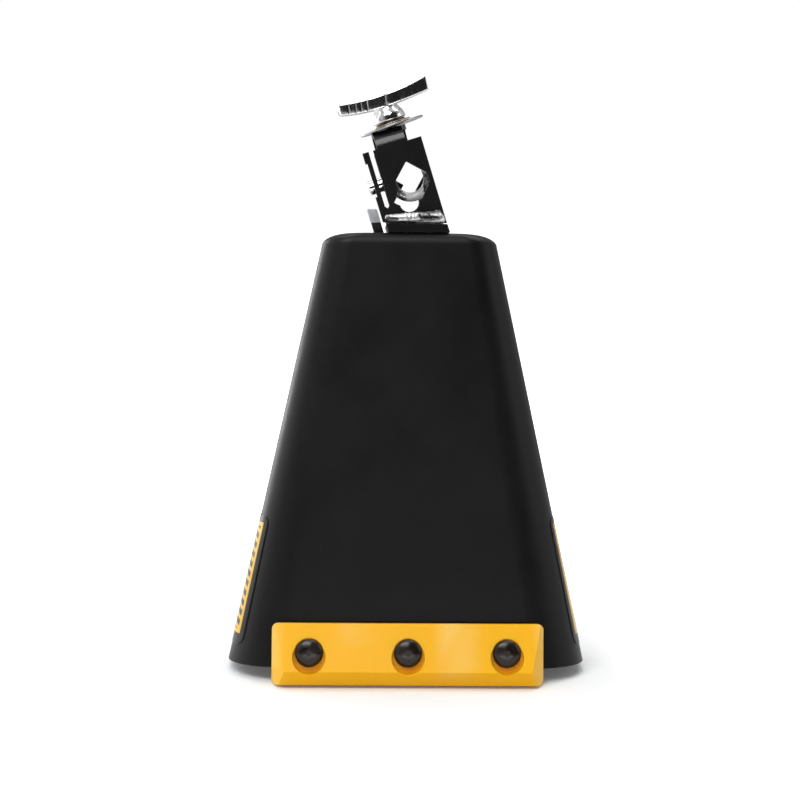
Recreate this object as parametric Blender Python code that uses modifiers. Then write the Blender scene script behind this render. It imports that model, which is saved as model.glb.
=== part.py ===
"""Drummer's cowbell: a flared steel bell with a striking bar on its mouth and a rod mount on its closed end.

Metres, +Z up. The playing face looks towards -Y and X runs along the striking bar. The bell stands on its
mouth: the bar's heel and the rear rim touch Z = 0, so the bell leans back by LEAN.

Four nested frames (empties) carry the pieces:
  bell_frame     origin at the middle of the mouth, Z to the closed end
  face_frame     origin on the mouth's front edge, Z up the front face, Y into the bell
  bracket_frame  origin where the bracket's centre line meets the closed end, Z up the leaning bracket
  bolt_frame     origin in the middle of the eye, Z up the bolt: the axis of the eye bolt and the wing nut
"""

from math import atan, cos, hypot, pi, radians, sin, tan

import bmesh
import bpy
from mathutils import Matrix, Vector

MM = 0.001
GAP = 0.3 * MM

# Bell body
BELL_HEIGHT = 203 * MM
MOUTH_HALF_WIDTH = 84.8 * MM
MOUTH_HALF_DEPTH = 37 * MM
MOUTH_CORNER = 28 * MM
END_HALF_WIDTH = 40.5 * MM
END_HALF_DEPTH = 19 * MM
END_CORNER = 14 * MM
SHEET = 1.6 * MM
END_ROUND_HEIGHT = 6 * MM
END_ROUND_SIDE = 14 * MM
END_ROUND_FRONT = 4.5 * MM
SEAM_HALF_GAP = 1.3 * MM
WELD_BREAK = 0.4 * MM
CORNER_STEPS = 7
END_ROUND_STEPS = 5

# Striking bar and its rivets, in the face frame: a wedge, thickest at the top edge of its lower chamfer
BAR_LENGTH = 126 * MM
BAR_BOTTOM = -7.1 * MM
BAR_TOP = 21.0 * MM
BAR_DEPTH = 13 * MM
BAR_TOP_DEPTH = 5 * MM
BAR_CHAMFER_HEIGHT = 6.3 * MM
BAR_CHAMFER_DEPTH = 4.5 * MM
BAR_CORNER = 2.0 * MM
BAR_EDGE_ROUND = 0.7 * MM
BAR_END_STRAIGHT = 2.8 * MM
BAR_END_SLANT = 0.58
RIVET_HEIGHT = 7.5 * MM
RIVET_PITCH = 45.6 * MM
RIVET_HEAD_RADIUS = 6.5 * MM
RIVET_HEAD_HEIGHT = 3.4 * MM
RIVET_RIM_HEIGHT = 0.8 * MM
RIVET_DOME_STEPS = 5
RIVET_SHANK_RADIUS = 2.4 * MM
RIVET_TAIL_RADIUS = 4.2 * MM
RIVET_TAIL_LENGTH = 1.4 * MM
RECESS_RADIUS = 7.7 * MM
RECESS_DROP = 1.8 * MM
RECESS_FLOOR = 7.0 * MM
HEAD_CLEARANCE = 0.4 * MM
BURR_RADIUS = 6.5 * MM
BURR_THICKNESS = 1.2 * MM

# Side stickers
STICKER_THICKNESS = 0.3 * MM
STICKER_BOTTOM = 8.7 * MM
STICKER_TOP = 68.7 * MM
STICKER_WRAP = {-1: 0.42, 1: 0.33}

# Bracket, in the bracket frame: Z heights are measured along the lean from the closed end
BRACKET_X = 3.7 * MM
BRACKET_LEAN = radians(17.3)
BRACKET_SHEET = 2.4 * MM
BRACKET_HALF_WIDTH = 14.45 * MM
BRACKET_HALF_DEPTH = 14.5 * MM
SHOULDER_HEIGHT = 43 * MM
STRAP_HEIGHT = 51.5 * MM
STRAP_SLOPE = radians(3)
BEND_RADIUS = 8 * MM
NECK_HALF_WIDTH = 7.1 * MM
STRAP_RIGHT = 9.4 * MM
STRAP_WIDENS = (-9.5 * MM, -5 * MM)
REAR_LEG_LEFT = -8.4 * MM
FINGER_WIDTH = 3.05 * MM
SLOT_WIDTH = 2.2 * MM
SLOT_BOTTOM = 15 * MM
FINGER_RECESS_DEPTH = 0.9 * MM
FINGER_RECESS = (21.5 * MM, 37.7 * MM)
BOLT_HOLE_RADIUS = 3.8 * MM

# Rod windows, in the bracket frame: an upper square on its corner, a lower one to its left, a round foot
WINDOW_X = 4.3 * MM
WINDOW_TOP = 33.7 * MM
WINDOW_HALF = 7.6 * MM
LOW_WINDOW_HALF = 7.1 * MM
LOW_WINDOW_HEIGHT = 16.1 * MM
WINDOW_FOOT_RADIUS = 4.7 * MM
WINDOW_BOTTOM = 9.4 * MM
WINDOW_TIP = 0.7 * MM
WINDOW_LEDGE = (0.8 * MM, 1.6 * MM)
FRONT_WAIST_LEFT = (-4.2 * MM, 20.2 * MM)
FRONT_WAIST_RIGHT = (12.4 * MM, 21.5 * MM)
FRONT_LEDGE_RIGHT = (6.1 * MM, 14.3 * MM)
REAR_WINDOW_SHIFT = (1.4 * MM, 2.2 * MM)

# Base plate, welds and lug: sideways places run along the bracket's lean, heights are above the closed end
BASE_LEFT = -13.4 * MM
BASE_RIGHT = 14.45 * MM
BASE_HALF_DEPTH = 17.2 * MM
BASE_THICKNESS = 4 * MM
BEAD_RADIUS = 1.8 * MM
BEAD_WAVE = 0.1
BEAD_LUMPS = 5
LUG_LEFT = -19.6 * MM
LUG_RIGHT = -15.2 * MM
LUG_HEIGHT = 11.4 * MM
LUG_HALF_DEPTH = 6 * MM

# Eye bolt, washers and wing nut, along the bolt frame's Z
EYE_X = 4.4 * MM
EYE_Y = 1.0 * MM
EYE_HEIGHT = 26.2 * MM
BOLT_TILT_SIDE = radians(2.2)
BOLT_TILT_FRONT = radians(3)
EYE_RADIUS = 8.6 * MM
EYE_BAR_RADIUS = 2.2 * MM
EYE_STRAIGHT = 5 * MM
SHANK_RADIUS = 3.1 * MM
SHANK_TOP = 36.0 * MM
ARM_RADIUS = 3.5 * MM
ARM_HEIGHT = 1.8 * MM
ARM_END = -20.2 * MM
LARGE_WASHER = (15.6 * MM, 3.6 * MM, 0.8 * MM)
FLAT_WASHER = (9.5 * MM, 3.5 * MM, 0.8 * MM)
LOCK_WASHER = (7.2 * MM, 3.5 * MM, 0.6 * MM)
WASHER_SEAT = 26.2 * MM
NUT_BASE_RADIUS = 7.9 * MM
NUT_NECK_RADIUS = 5.6 * MM
NUT_EDGE = 0.5 * MM
NUT_BOSS_HEIGHT = 7.2 * MM
NUT_HEIGHT = 12.4 * MM
NUT_BORE_RADIUS = 3.5 * MM
NUT_BORE_DEPTH = 9.3 * MM
WING_SPAN = 44 * MM
WING_RISE = 2.6 * MM
WING_FACE = 5.6 * MM
WING_HALF_DEPTH = 5.0 * MM
WING_TWIST = 1.3 * MM
WING_TAPER = 0.1
WING_DROP = 1.6 * MM
WING_THINNING = 0.5
WING_STEPS = 10

ROUND_SEGMENTS = 32
SMALL_SEGMENTS = 20
SMOOTH_ANGLE = radians(32)
WELD_DISTANCE = 0.01 * MM
OVERCUT = 1 * MM
FAR = 25 * MM

BLACK_PAINT = ((0.012, 0.012, 0.013), 0.42, 0.0)
GLOSS_PAINT = ((0.010, 0.010, 0.011), 0.22, 0.0)
BAR_PLASTIC = ((0.95, 0.42, 0.02), 0.35, 0.0)
RIVET_BROWN = ((0.020, 0.012, 0.010), 0.18, 0.4)
CHROME = ((0.80, 0.80, 0.80), 0.08, 1.0)
ZINC = ((0.62, 0.62, 0.63), 0.30, 1.0)
BRASS = ((0.66, 0.58, 0.46), 0.30, 1.0)
DARK_STEEL = ((0.10, 0.10, 0.10), 0.35, 1.0)
LABEL_YELLOW = ((0.90, 0.55, 0.04), 0.35, 0.0)

# The bell stands on its rear rim and on the bar's heel, the lower edge nearest the bell, whose place here is
# its reach in front of the mouth and its height in the bell frame. SETBACK centres the whole object on Y = 0.
FACE_SLOPE = atan((MOUTH_HALF_DEPTH - END_HALF_DEPTH) / BELL_HEIGHT)
HEEL_REACH = GAP * cos(FACE_SLOPE) - BAR_BOTTOM * sin(FACE_SLOPE)
HEEL_HEIGHT = GAP * sin(FACE_SLOPE) + BAR_BOTTOM * cos(FACE_SLOPE)
LEAN = atan(-HEEL_HEIGHT / (2 * MOUTH_HALF_DEPTH + HEEL_REACH))
SETBACK = 5.64 * MM


FRONT_VIEW = (pi / 2, 0, 0)
SIDE_VIEW = (pi / 2, 0, pi / 2)
PLAN_VIEW = (0, 0, 0)
NUT_SEAT = WASHER_SEAT + LARGE_WASHER[2] + FLAT_WASHER[2] + LOCK_WASHER[2] + 3 * GAP


# ---------------------------------------------------------------- scene helpers

def clear_scene():
    for old in list(bpy.data.objects):
        bpy.data.objects.remove(old, do_unlink=True)


def new_collection(name):
    collection = bpy.data.collections.new(name)
    bpy.context.scene.collection.children.link(collection)
    return collection


def new_material(name, look):
    colour, roughness, metallic = look
    material = bpy.data.materials.new(name)
    material.use_nodes = True
    shader = material.node_tree.nodes["Principled BSDF"]
    shader.inputs["Base Color"].default_value = (*colour, 1)
    shader.inputs["Roughness"].default_value = roughness
    shader.inputs["Metallic"].default_value = metallic
    return material


def new_frame(name, parent, location, rotation):
    frame = bpy.data.objects.new(name, None)
    frame.empty_display_size = 0.01
    frame.parent = parent
    frame.location = location
    frame.rotation_euler = rotation
    PARTS.objects.link(frame)
    bpy.context.view_layer.update()
    return frame


def place(name, data, parent, location=(0, 0, 0), rotation=(0, 0, 0), collection=None):
    piece = bpy.data.objects.new(name, data)
    piece.parent = parent
    piece.location = location
    piece.rotation_euler = rotation
    (collection or PARTS).objects.link(piece)
    return piece


def finish(piece, look, smooth=False):
    piece.data.materials.clear()
    piece.data.materials.append(new_material(piece.name, look))
    if smooth:
        piece.data.shade_smooth()
        piece.data.set_sharp_from_angle(angle=SMOOTH_ANGLE)
    return piece


def hide_cutter(piece):
    piece.hide_render = True
    piece.display_type = "WIRE"
    return piece


def add_boolean(piece, tool, operation="DIFFERENCE"):
    cut = piece.modifiers.new(tool.name, "BOOLEAN")
    cut.operation = operation
    cut.solver = "EXACT"
    cut.object = tool


def add_bevel(piece, width, segments=2):
    bevel = piece.modifiers.new("edge_round", "BEVEL")
    bevel.width = width
    bevel.segments = segments
    bevel.limit_method = "ANGLE"
    bevel.angle_limit = SMOOTH_ANGLE


# ---------------------------------------------------------------- shape helpers

def mesh_from(name, build):
    """Mesh made by build(bm) on an empty bmesh, with its faces turned outwards."""
    bm = bmesh.new()
    build(bm)
    bmesh.ops.recalc_face_normals(bm, faces=bm.faces)
    mesh = bpy.data.meshes.new(name)
    bm.to_mesh(mesh)
    bm.free()
    return mesh


def curve_to_mesh(curve_piece):
    """The curve's evaluated mesh with its caps welded on, in a new object that takes the curve's place."""
    bpy.context.view_layer.update()
    evaluated = curve_piece.evaluated_get(bpy.context.evaluated_depsgraph_get())
    mesh = bpy.data.meshes.new_from_object(evaluated)
    bm = bmesh.new()
    bm.from_mesh(mesh)
    bmesh.ops.remove_doubles(bm, verts=bm.verts, dist=WELD_DISTANCE)
    bmesh.ops.recalc_face_normals(bm, faces=bm.faces)
    bm.to_mesh(mesh)
    bm.free()
    name = curve_piece.name
    collection = curve_piece.users_collection[0]
    parent = curve_piece.parent
    world = curve_piece.matrix_world.copy()
    bpy.data.objects.remove(curve_piece, do_unlink=True)
    piece = bpy.data.objects.new(name, mesh)
    collection.objects.link(piece)
    piece.parent = parent
    bpy.context.view_layer.update()
    piece.matrix_world = world
    return piece


def flat_piece(name, outline, low, high, parent, view, collection=None):
    """A flat outline drawn in one view of the parent frame and thickened from low to high across that view."""
    curve = bpy.data.curves.new(name, "CURVE")
    curve.dimensions = "2D"
    curve.fill_mode = "BOTH"
    curve.extrude = (high - low) / 2
    spline = curve.splines.new("POLY")
    spline.points.add(len(outline) - 1)
    for point, (across, up) in zip(spline.points, outline):
        point.co = (across, up, 0, 1)
    spline.use_cyclic_u = True
    middle = (low + high) / 2
    locations = {FRONT_VIEW: (0, middle, 0), SIDE_VIEW: (middle, 0, 0), PLAN_VIEW: (0, 0, middle)}
    location = locations[view]
    return curve_to_mesh(place(name, curve, parent, location, view, collection))


def flat_cutter(name, outline, low, high, parent, view):
    return hide_cutter(flat_piece(name, outline, low, high, parent, view, CUTTERS))


def rectangle(left, right, bottom, top):
    return [(left, bottom), (right, bottom), (right, top), (left, top)]


def rounded_rectangle(left, right, bottom, top, radius, steps=4):
    corners = (((right - radius, bottom + radius), 270), ((right - radius, top - radius), 0),
               ((left + radius, top - radius), 90), ((left + radius, bottom + radius), 180))
    outline = []
    for centre, start in corners:
        outline += arc(centre, radius, start, start + 90, steps)
    return outline


def arc(centre, radius, start, end, steps):
    """Points on a circle from start to end, both included, angles in degrees."""
    angles = [radians(start + (end - start) * i / steps) for i in range(steps + 1)]
    return [(centre[0] + radius * cos(a), centre[1] + radius * sin(a)) for a in angles]


def strip_outline(path, thickness):
    """Closed outline of a strip that follows an open path, with its thickness on the path's right."""
    far = []
    for i in range(len(path)):
        before = path[max(i - 1, 0)]
        after = path[min(i + 1, len(path) - 1)]
        along = (after[0] - before[0], after[1] - before[1])
        length = hypot(*along)
        far.append((path[i][0] + thickness * along[1] / length, path[i][1] - thickness * along[0] / length))
    return path + far[::-1]


def shortened(path, start, end):
    """The path with its first point moved in by start and its last point by end."""
    points = [Vector(point) for point in path]
    points[0] += (points[1] - points[0]).normalized() * start
    points[-1] += (points[-2] - points[-1]).normalized() * end
    return [tuple(point) for point in points]


def turned_piece(name, profile, parent, location=(0, 0, 0), rotation=(0, 0, 0), segments=ROUND_SEGMENTS):
    """A closed profile of (radius, height) points turned about Z: a solid of revolution."""
    def build(bm):
        ring = [bm.verts.new((radius, 0, height)) for radius, height in profile]
        edges = [bm.edges.new((ring[i], ring[(i + 1) % len(ring)])) for i in range(len(ring))]
        on_axis = [edge for edge in edges if all(vert.co.x < GAP / 100 for vert in edge.verts)]
        bmesh.ops.delete(bm, geom=on_axis, context="EDGES")
        edges = list(bm.edges)
        bmesh.ops.spin(bm, geom=list(bm.verts) + edges, cent=(0, 0, 0), axis=(0, 0, 1),
                       angle=2 * pi, steps=segments, use_duplicate=False)
        bmesh.ops.remove_doubles(bm, verts=bm.verts, dist=WELD_DISTANCE)
    return place(name, mesh_from(name, build), parent, location, rotation)


def cylinder(name, radius, low, high, parent, location=(0, 0, 0), rotation=(0, 0, 0),
             segments=ROUND_SEGMENTS, collection=None):
    """A cylinder about its own Z from low to high."""
    def build(bm):
        bmesh.ops.create_cone(bm, cap_ends=True, segments=segments, radius1=radius, radius2=radius,
                              depth=high - low, matrix=Matrix.Translation((0, 0, (low + high) / 2)))
    return place(name, mesh_from(name, build), parent, location, rotation, collection)


# ---------------------------------------------------------------- bell

def bell_size(height):
    """Half width, half depth and corner radius of the bell's outside at a height."""
    t = height / BELL_HEIGHT
    return tuple(low + (high - low) * t for low, high in (
        (MOUTH_HALF_WIDTH, END_HALF_WIDTH), (MOUTH_HALF_DEPTH, END_HALF_DEPTH), (MOUTH_CORNER, END_CORNER)))


def half_section(half_width, half_depth, corner, side):
    """Outside of one half of the bell, from the right seam round to the left; side is -1 front, 1 rear."""
    right = [(half_width, SEAM_HALF_GAP)]
    right += arc((half_width - corner, half_depth - corner), corner, 0, 90, CORNER_STEPS)
    left = [(-x, y) for x, y in reversed(right)]
    return [(x, side * y) for x, y in right + left]


def bell_levels():
    """Height, half width, half depth and corner radius of each ring, from the mouth to the closed end."""
    start = BELL_HEIGHT - END_ROUND_HEIGHT
    levels = [(0, *bell_size(0)), (start, *bell_size(start))]
    width, depth, corner = bell_size(start)
    for step in range(1, END_ROUND_STEPS + 1):
        turn = pi / 2 * step / END_ROUND_STEPS
        inward = 1 - cos(turn)
        levels.append((start + END_ROUND_HEIGHT * sin(turn), width - END_ROUND_SIDE * inward,
                       depth - END_ROUND_FRONT * inward, corner - END_ROUND_FRONT * inward))
    return levels


def make_shell(name, side):
    """One pressed half of the bell, open at the mouth and along the seam."""
    def build(bm):
        rings = []
        for height, width, depth, corner in bell_levels():
            outline = half_section(width, depth, corner, side)
            rings.append([bm.verts.new((x, y, height)) for x, y in outline])
        for low, high in zip(rings, rings[1:]):
            for i in range(len(low) - 1):
                bm.faces.new((low[i], low[i + 1], high[i + 1], high[i]))
        bm.faces.new(rings[-1])
    shell = place(name, mesh_from(name, build), BELL)
    skin = shell.modifiers.new("sheet", "SOLIDIFY")
    skin.thickness = SHEET
    skin.offset = -1 if outward(shell) else 1
    skin.use_even_offset = True
    return finish(shell, BLACK_PAINT, smooth=True)


def outward(shell):
    """Whether the open sheet's faces look away from the bell's middle."""
    middle = Vector((0, 0, BELL_HEIGHT / 2))
    return sum((face.center - middle).dot(face.normal) * face.area for face in shell.data.polygons) > 0


def seam_path():
    """Outside of the bell in the seam's plane, from the mouth's left edge over the closed end to the right."""
    right = [(level[1], level[0]) for level in bell_levels()]
    return [(-x, z) for x, z in right] + right[::-1]


def make_seam_welds():
    """The weld that fills the seam between the halves: two straight sides and the closed end."""
    path = seam_path()
    half = SEAM_HALF_GAP - GAP
    for name, line in (("side_weld_left", shortened(path[:2], 0, WELD_BREAK)),
                       ("end_weld", shortened(path[1:-1], WELD_BREAK, WELD_BREAK)),
                       ("side_weld_right", shortened(path[-2:], WELD_BREAK, 0))):
        weld = flat_piece(name, strip_outline(line, SHEET), -half, half, BELL, FRONT_VIEW)
        finish(weld, BLACK_PAINT)


# ---------------------------------------------------------------- striking bar

def bar_cutters():
    """What is taken off the block to leave the bar's sloping playing face, lower chamfer and slanted ends."""
    half = BAR_LENGTH / 2
    front = -BAR_DEPTH - OVERCUT
    edge = BAR_BOTTOM + BAR_CHAMFER_HEIGHT
    bottom, top, beyond = BAR_BOTTOM - OVERCUT, BAR_TOP + OVERCUT, half + OVERCUT
    foot = BAR_CHAMFER_DEPTH - BAR_DEPTH
    slope = [(-BAR_DEPTH, edge), (-BAR_TOP_DEPTH, BAR_TOP), (-BAR_TOP_DEPTH, top), (front, top),
             (front, edge)]
    chamfer = [(-BAR_DEPTH, edge), (front, edge), (front, bottom), (foot, bottom),
               (foot, BAR_BOTTOM)]
    cutters = [flat_cutter("bar_slope", slope, -beyond, beyond, FACE, SIDE_VIEW),
               flat_cutter("bar_chamfer", chamfer, -beyond, beyond, FACE, SIDE_VIEW)]
    slant = BAR_END_SLANT * (BAR_DEPTH + OVERCUT - BAR_END_STRAIGHT)
    for side in (-1, 1):
        end = [(side * half, -BAR_END_STRAIGHT), (side * (half - slant), front), (side * beyond, front),
               (side * beyond, -BAR_END_STRAIGHT)]
        cutters.append(flat_cutter(f"bar_end_{side}", end, bottom, top, FACE, PLAN_VIEW))
    return cutters


def rivet_spots():
    """Where the three rivets' axes meet the bell's face, in the face frame, left to right."""
    return [("left", -RIVET_PITCH), ("middle", 0), ("right", RIVET_PITCH)]


def recess_cutters():
    """Each rivet's recess, wider below the head than above it, and its hole through the bar."""
    top = BAR_DEPTH + OVERCUT
    cutters = []
    for side, x in rivet_spots():
        for name, radius, low, height in (
                ("recess", RECESS_RADIUS, RECESS_FLOOR, RIVET_HEIGHT - RECESS_DROP),
                ("head_room", RIVET_HEAD_RADIUS + HEAD_CLEARANCE, RECESS_FLOOR, RIVET_HEIGHT),
                ("rivet_hole", RIVET_SHANK_RADIUS + GAP, -OVERCUT, RIVET_HEIGHT)):
            cutter = cylinder(f"{name}_{side}", radius, low, top, FACE, (x, 0, height), FRONT_VIEW,
                              collection=CUTTERS)
            cutters.append(hide_cutter(cutter))
    return cutters


def make_bar():
    half = BAR_LENGTH / 2
    outline = rounded_rectangle(-half, half, BAR_BOTTOM, BAR_TOP, BAR_CORNER)
    bar = flat_piece("rider_bar", outline, -BAR_DEPTH, -GAP, FACE, FRONT_VIEW)
    for cutter in bar_cutters():
        add_boolean(bar, cutter)
    add_bevel(bar, BAR_EDGE_ROUND, 2)
    for cutter in recess_cutters():
        add_boolean(bar, cutter)
    return finish(bar, BAR_PLASTIC, smooth=True)


def rivet_profile():
    """Radius and height of a domed rivet: Z = 0 on the bell's outside, the head at +Z, the tail inside."""
    seat = RECESS_FLOOR + GAP
    tail = -(SHEET + 3 * GAP + BURR_THICKNESS)
    rim = seat + RIVET_RIM_HEIGHT
    dome = RIVET_HEAD_HEIGHT - RIVET_RIM_HEIGHT
    turns = [pi / 2 * i / RIVET_DOME_STEPS for i in range(RIVET_DOME_STEPS)]
    crown = [(RIVET_HEAD_RADIUS * cos(turn), rim + dome * sin(turn)) for turn in turns]
    return [(0, tail - RIVET_TAIL_LENGTH), (RIVET_SHANK_RADIUS, tail - RIVET_TAIL_LENGTH),
            (RIVET_TAIL_RADIUS, tail - RIVET_TAIL_LENGTH / 2), (RIVET_TAIL_RADIUS, tail),
            (RIVET_SHANK_RADIUS, tail), (RIVET_SHANK_RADIUS, seat),
            (RIVET_HEAD_RADIUS, seat)] + crown + [(0, rim + dome)]


def make_rivets():
    """Three rivets through the bar and the bell, each with a round burr plate inside the bell."""
    outside = -SHEET - GAP
    inside = outside - BURR_THICKNESS
    bore = RIVET_SHANK_RADIUS + GAP
    ring = [(bore, inside), (BURR_RADIUS, inside), (BURR_RADIUS, outside), (bore, outside)]
    for side, x in rivet_spots():
        spot = (x, 0, RIVET_HEIGHT)
        rivet = turned_piece(f"rivet_{side}", rivet_profile(), FACE, spot, FRONT_VIEW, SMALL_SEGMENTS)
        finish(rivet, RIVET_BROWN, smooth=True)
        burr = turned_piece(f"rivet_burr_{side}", ring, FACE, spot, FRONT_VIEW, SMALL_SEGMENTS)
        finish(burr, ZINC, smooth=True)


def drill_shell(shell):
    """The three rivet holes in the front half."""
    reach = SHEET + 2 * OVERCUT
    for side, x in rivet_spots():
        drill = cylinder(f"shell_hole_{side}", RIVET_SHANK_RADIUS + GAP, -reach, reach, FACE,
                         (x, 0, RIVET_HEIGHT), FRONT_VIEW, SMALL_SEGMENTS, CUTTERS)
        add_boolean(shell, hide_cutter(drill))


# ---------------------------------------------------------------- stickers

def sticker_section(height, side, lift):
    """A sticker's line round one narrow side, from its front edge to its rear edge, lifted off the bell."""
    width, depth, corner = bell_size(height)
    reach = STICKER_WRAP[side] * 90
    centre = (width - corner, -(depth - corner))
    front = arc(centre, corner + lift, -reach, 0, 4)
    return [(side * x, y) for x, y in front + [(x, -y) for x, y in reversed(front)]]


def make_sticker(name, side):
    def build(bm):
        outer = GAP + STICKER_THICKNESS
        corners = ((STICKER_BOTTOM, GAP), (STICKER_TOP, GAP), (STICKER_TOP, outer), (STICKER_BOTTOM, outer))
        loops = []
        for height, lift in corners:
            loops.append([bm.verts.new((x, y, height)) for x, y in sticker_section(height, side, lift)])
        count = len(loops[0])
        for a, b in zip(loops, loops[1:] + loops[:1]):
            for i in range(count - 1):
                bm.faces.new((a[i], a[i + 1], b[i + 1], b[i]))
        bm.faces.new([loop[0] for loop in loops])
        bm.faces.new([loop[-1] for loop in loops])
    finish(place(name, mesh_from(name, build), BELL), LABEL_YELLOW, smooth=True)


# ---------------------------------------------------------------- bracket

def foot_height(x, clear):
    """Height along the bracket frame's Z of the level plane clear above the closed end, at the frame's x."""
    return (clear - x * sin(BRACKET_LEAN)) / cos(BRACKET_LEAN)


def bracket_path():
    """Outer line of the folded sheet in side view: up the front wall, back along the strap, down the rear."""
    depth = BRACKET_HALF_DEPTH
    run = 2 * (depth - BEND_RADIUS)
    rear_height = STRAP_HEIGHT + run * tan(STRAP_SLOPE)
    front_bend = arc((-depth + BEND_RADIUS, STRAP_HEIGHT - BEND_RADIUS), BEND_RADIUS, 180, 90, 6)
    rear_bend = arc((depth - BEND_RADIUS, rear_height - BEND_RADIUS), BEND_RADIUS, 90, 0, 6)
    return [(-depth, -FAR)] + front_bend + rear_bend + [(depth, -FAR)]


def window_tip():
    """The blunt top corner of the upper square, from its right side to its left."""
    side = WINDOW_TIP
    crown = WINDOW_TIP / 3
    return [(WINDOW_X + side, WINDOW_TOP - side), (WINDOW_X + crown, WINDOW_TOP - crown),
            (WINDOW_X - crown, WINDOW_TOP - crown), (WINDOW_X - side, WINDOW_TOP - side)]


def window_foot():
    """The round foot of the rod window, from its left side down and up to its right."""
    return arc((0, WINDOW_BOTTOM + WINDOW_FOOT_RADIUS), WINDOW_FOOT_RADIUS, 180, 360, 10)


def front_window():
    """Rod window of the front wall: its lower half is widened on both sides to clear the eye's bar."""
    middle = WINDOW_TOP - WINDOW_HALF
    out, down = WINDOW_LEDGE
    return ([(WINDOW_X - WINDOW_HALF, middle), FRONT_WAIST_LEFT, (-LOW_WINDOW_HALF, LOW_WINDOW_HEIGHT),
             (-WINDOW_FOOT_RADIUS - out, LOW_WINDOW_HEIGHT - down)] + window_foot()
            + [FRONT_LEDGE_RIGHT, FRONT_WAIST_RIGHT, (WINDOW_X + WINDOW_HALF, middle)] + window_tip())


def rear_window():
    """Rod window of the rear wall: two overlapping squares on their corners above the round foot."""
    middle = WINDOW_TOP - WINDOW_HALF
    left, right = WINDOW_X - WINDOW_HALF, WINDOW_X + WINDOW_HALF
    half, low = LOW_WINDOW_HALF, LOW_WINDOW_HEIGHT
    out, down = WINDOW_LEDGE
    left_notch = (left + middle - half - low) / 2
    right_notch = (right - middle + half + low) / 2
    outline = ([(left, middle), (left_notch, low + half + left_notch), (-half, low),
                (-WINDOW_FOOT_RADIUS - out, low - down)] + window_foot()
               + [(WINDOW_FOOT_RADIUS + out, low - down), (half, low),
                  (right_notch, low + half - right_notch), (right, middle)] + window_tip())
    return [(x + REAR_WINDOW_SHIFT[0], z + REAR_WINDOW_SHIFT[1]) for x, z in outline]


def bracket_cutters():
    """Everything taken off the folded sheet. Front and rear cutters end inside it, just past its middle."""
    high = STRAP_HEIGHT + FAR
    front = (-FAR, OVERCUT)
    rear = (-OVERCUT, FAR)
    neck = NECK_HALF_WIDTH
    slot_left = -BRACKET_HALF_WIDTH + FINGER_WIDTH
    slot_right = slot_left + SLOT_WIDTH
    slot_end = SLOT_BOTTOM + SLOT_WIDTH / 2
    beside_strap_left = rectangle(-FAR, -neck, -FAR, FAR)
    beside_strap_right = [(neck, -FAR), (FAR, -FAR), (FAR, FAR), (STRAP_RIGHT, FAR),
                          (STRAP_RIGHT, STRAP_WIDENS[1]), (neck, STRAP_WIDENS[0])]
    slot = [(slot_left, high), (slot_left, slot_end), ((slot_left + slot_right) / 2, SLOT_BOTTOM),
            (slot_right, slot_end), (slot_right, high)]
    foot = BASE_THICKNESS + 2 * GAP
    below = [(-FAR, foot_height(-FAR, foot)), (FAR, foot_height(FAR, foot)), (FAR, -2 * FAR), (-FAR, -2 * FAR)]
    recess = rectangle(-FAR, FINGER_RECESS_DEPTH - BRACKET_HALF_WIDTH, *FINGER_RECESS)
    cut = flat_cutter
    return [
        cut("cut_beside_strap_left", beside_strap_left, SHOULDER_HEIGHT, high, BRACKET, PLAN_VIEW),
        cut("cut_beside_strap_right", beside_strap_right, SHOULDER_HEIGHT, high, BRACKET, PLAN_VIEW),
        cut("cut_rear_left", rectangle(-FAR, REAR_LEG_LEFT, -FAR, high), *rear, BRACKET, FRONT_VIEW),
        cut("cut_slot", slot, *front, BRACKET, FRONT_VIEW),
        cut("cut_finger", recess, *front, BRACKET, FRONT_VIEW),
        cut("cut_front_window", front_window(), *front, BRACKET, FRONT_VIEW),
        cut("cut_rear_window", rear_window(), *rear, BRACKET, FRONT_VIEW),
        cut("cut_below", below, -FAR, FAR, BRACKET, FRONT_VIEW),
    ]


def make_bracket():
    half = BRACKET_HALF_WIDTH
    bracket = flat_piece("mount_bracket", strip_outline(bracket_path(), BRACKET_SHEET), -half, half,
                         BRACKET, SIDE_VIEW)
    for cutter in bracket_cutters():
        add_boolean(bracket, cutter)
    strap = (WASHER_SEAT - 4 * BRACKET_SHEET, WASHER_SEAT + 2 * BRACKET_SHEET)
    hole = cylinder("cut_bolt_hole", BOLT_HOLE_RADIUS, *strap, BOLT, collection=CUTTERS)
    add_boolean(bracket, hide_cutter(hole))
    return finish(bracket, BLACK_PAINT, smooth=True)


def leaning_outline(left, right, low, high):
    """Front view of a block with level top and bottom whose sides follow the bracket's lean."""
    corners = [(left, low), (right, low), (right, high), (left, high)]
    return [(side, foot_height(side, height)) for side, height in corners]


def make_base_plate():
    outline = leaning_outline(BASE_LEFT, BASE_RIGHT, 0, BASE_THICKNESS)
    plate = flat_piece("base_plate", outline, -BASE_HALF_DEPTH, BASE_HALF_DEPTH, BRACKET, FRONT_VIEW)
    add_bevel(plate, GAP, 1)
    return finish(plate, GLOSS_PAINT)


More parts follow.
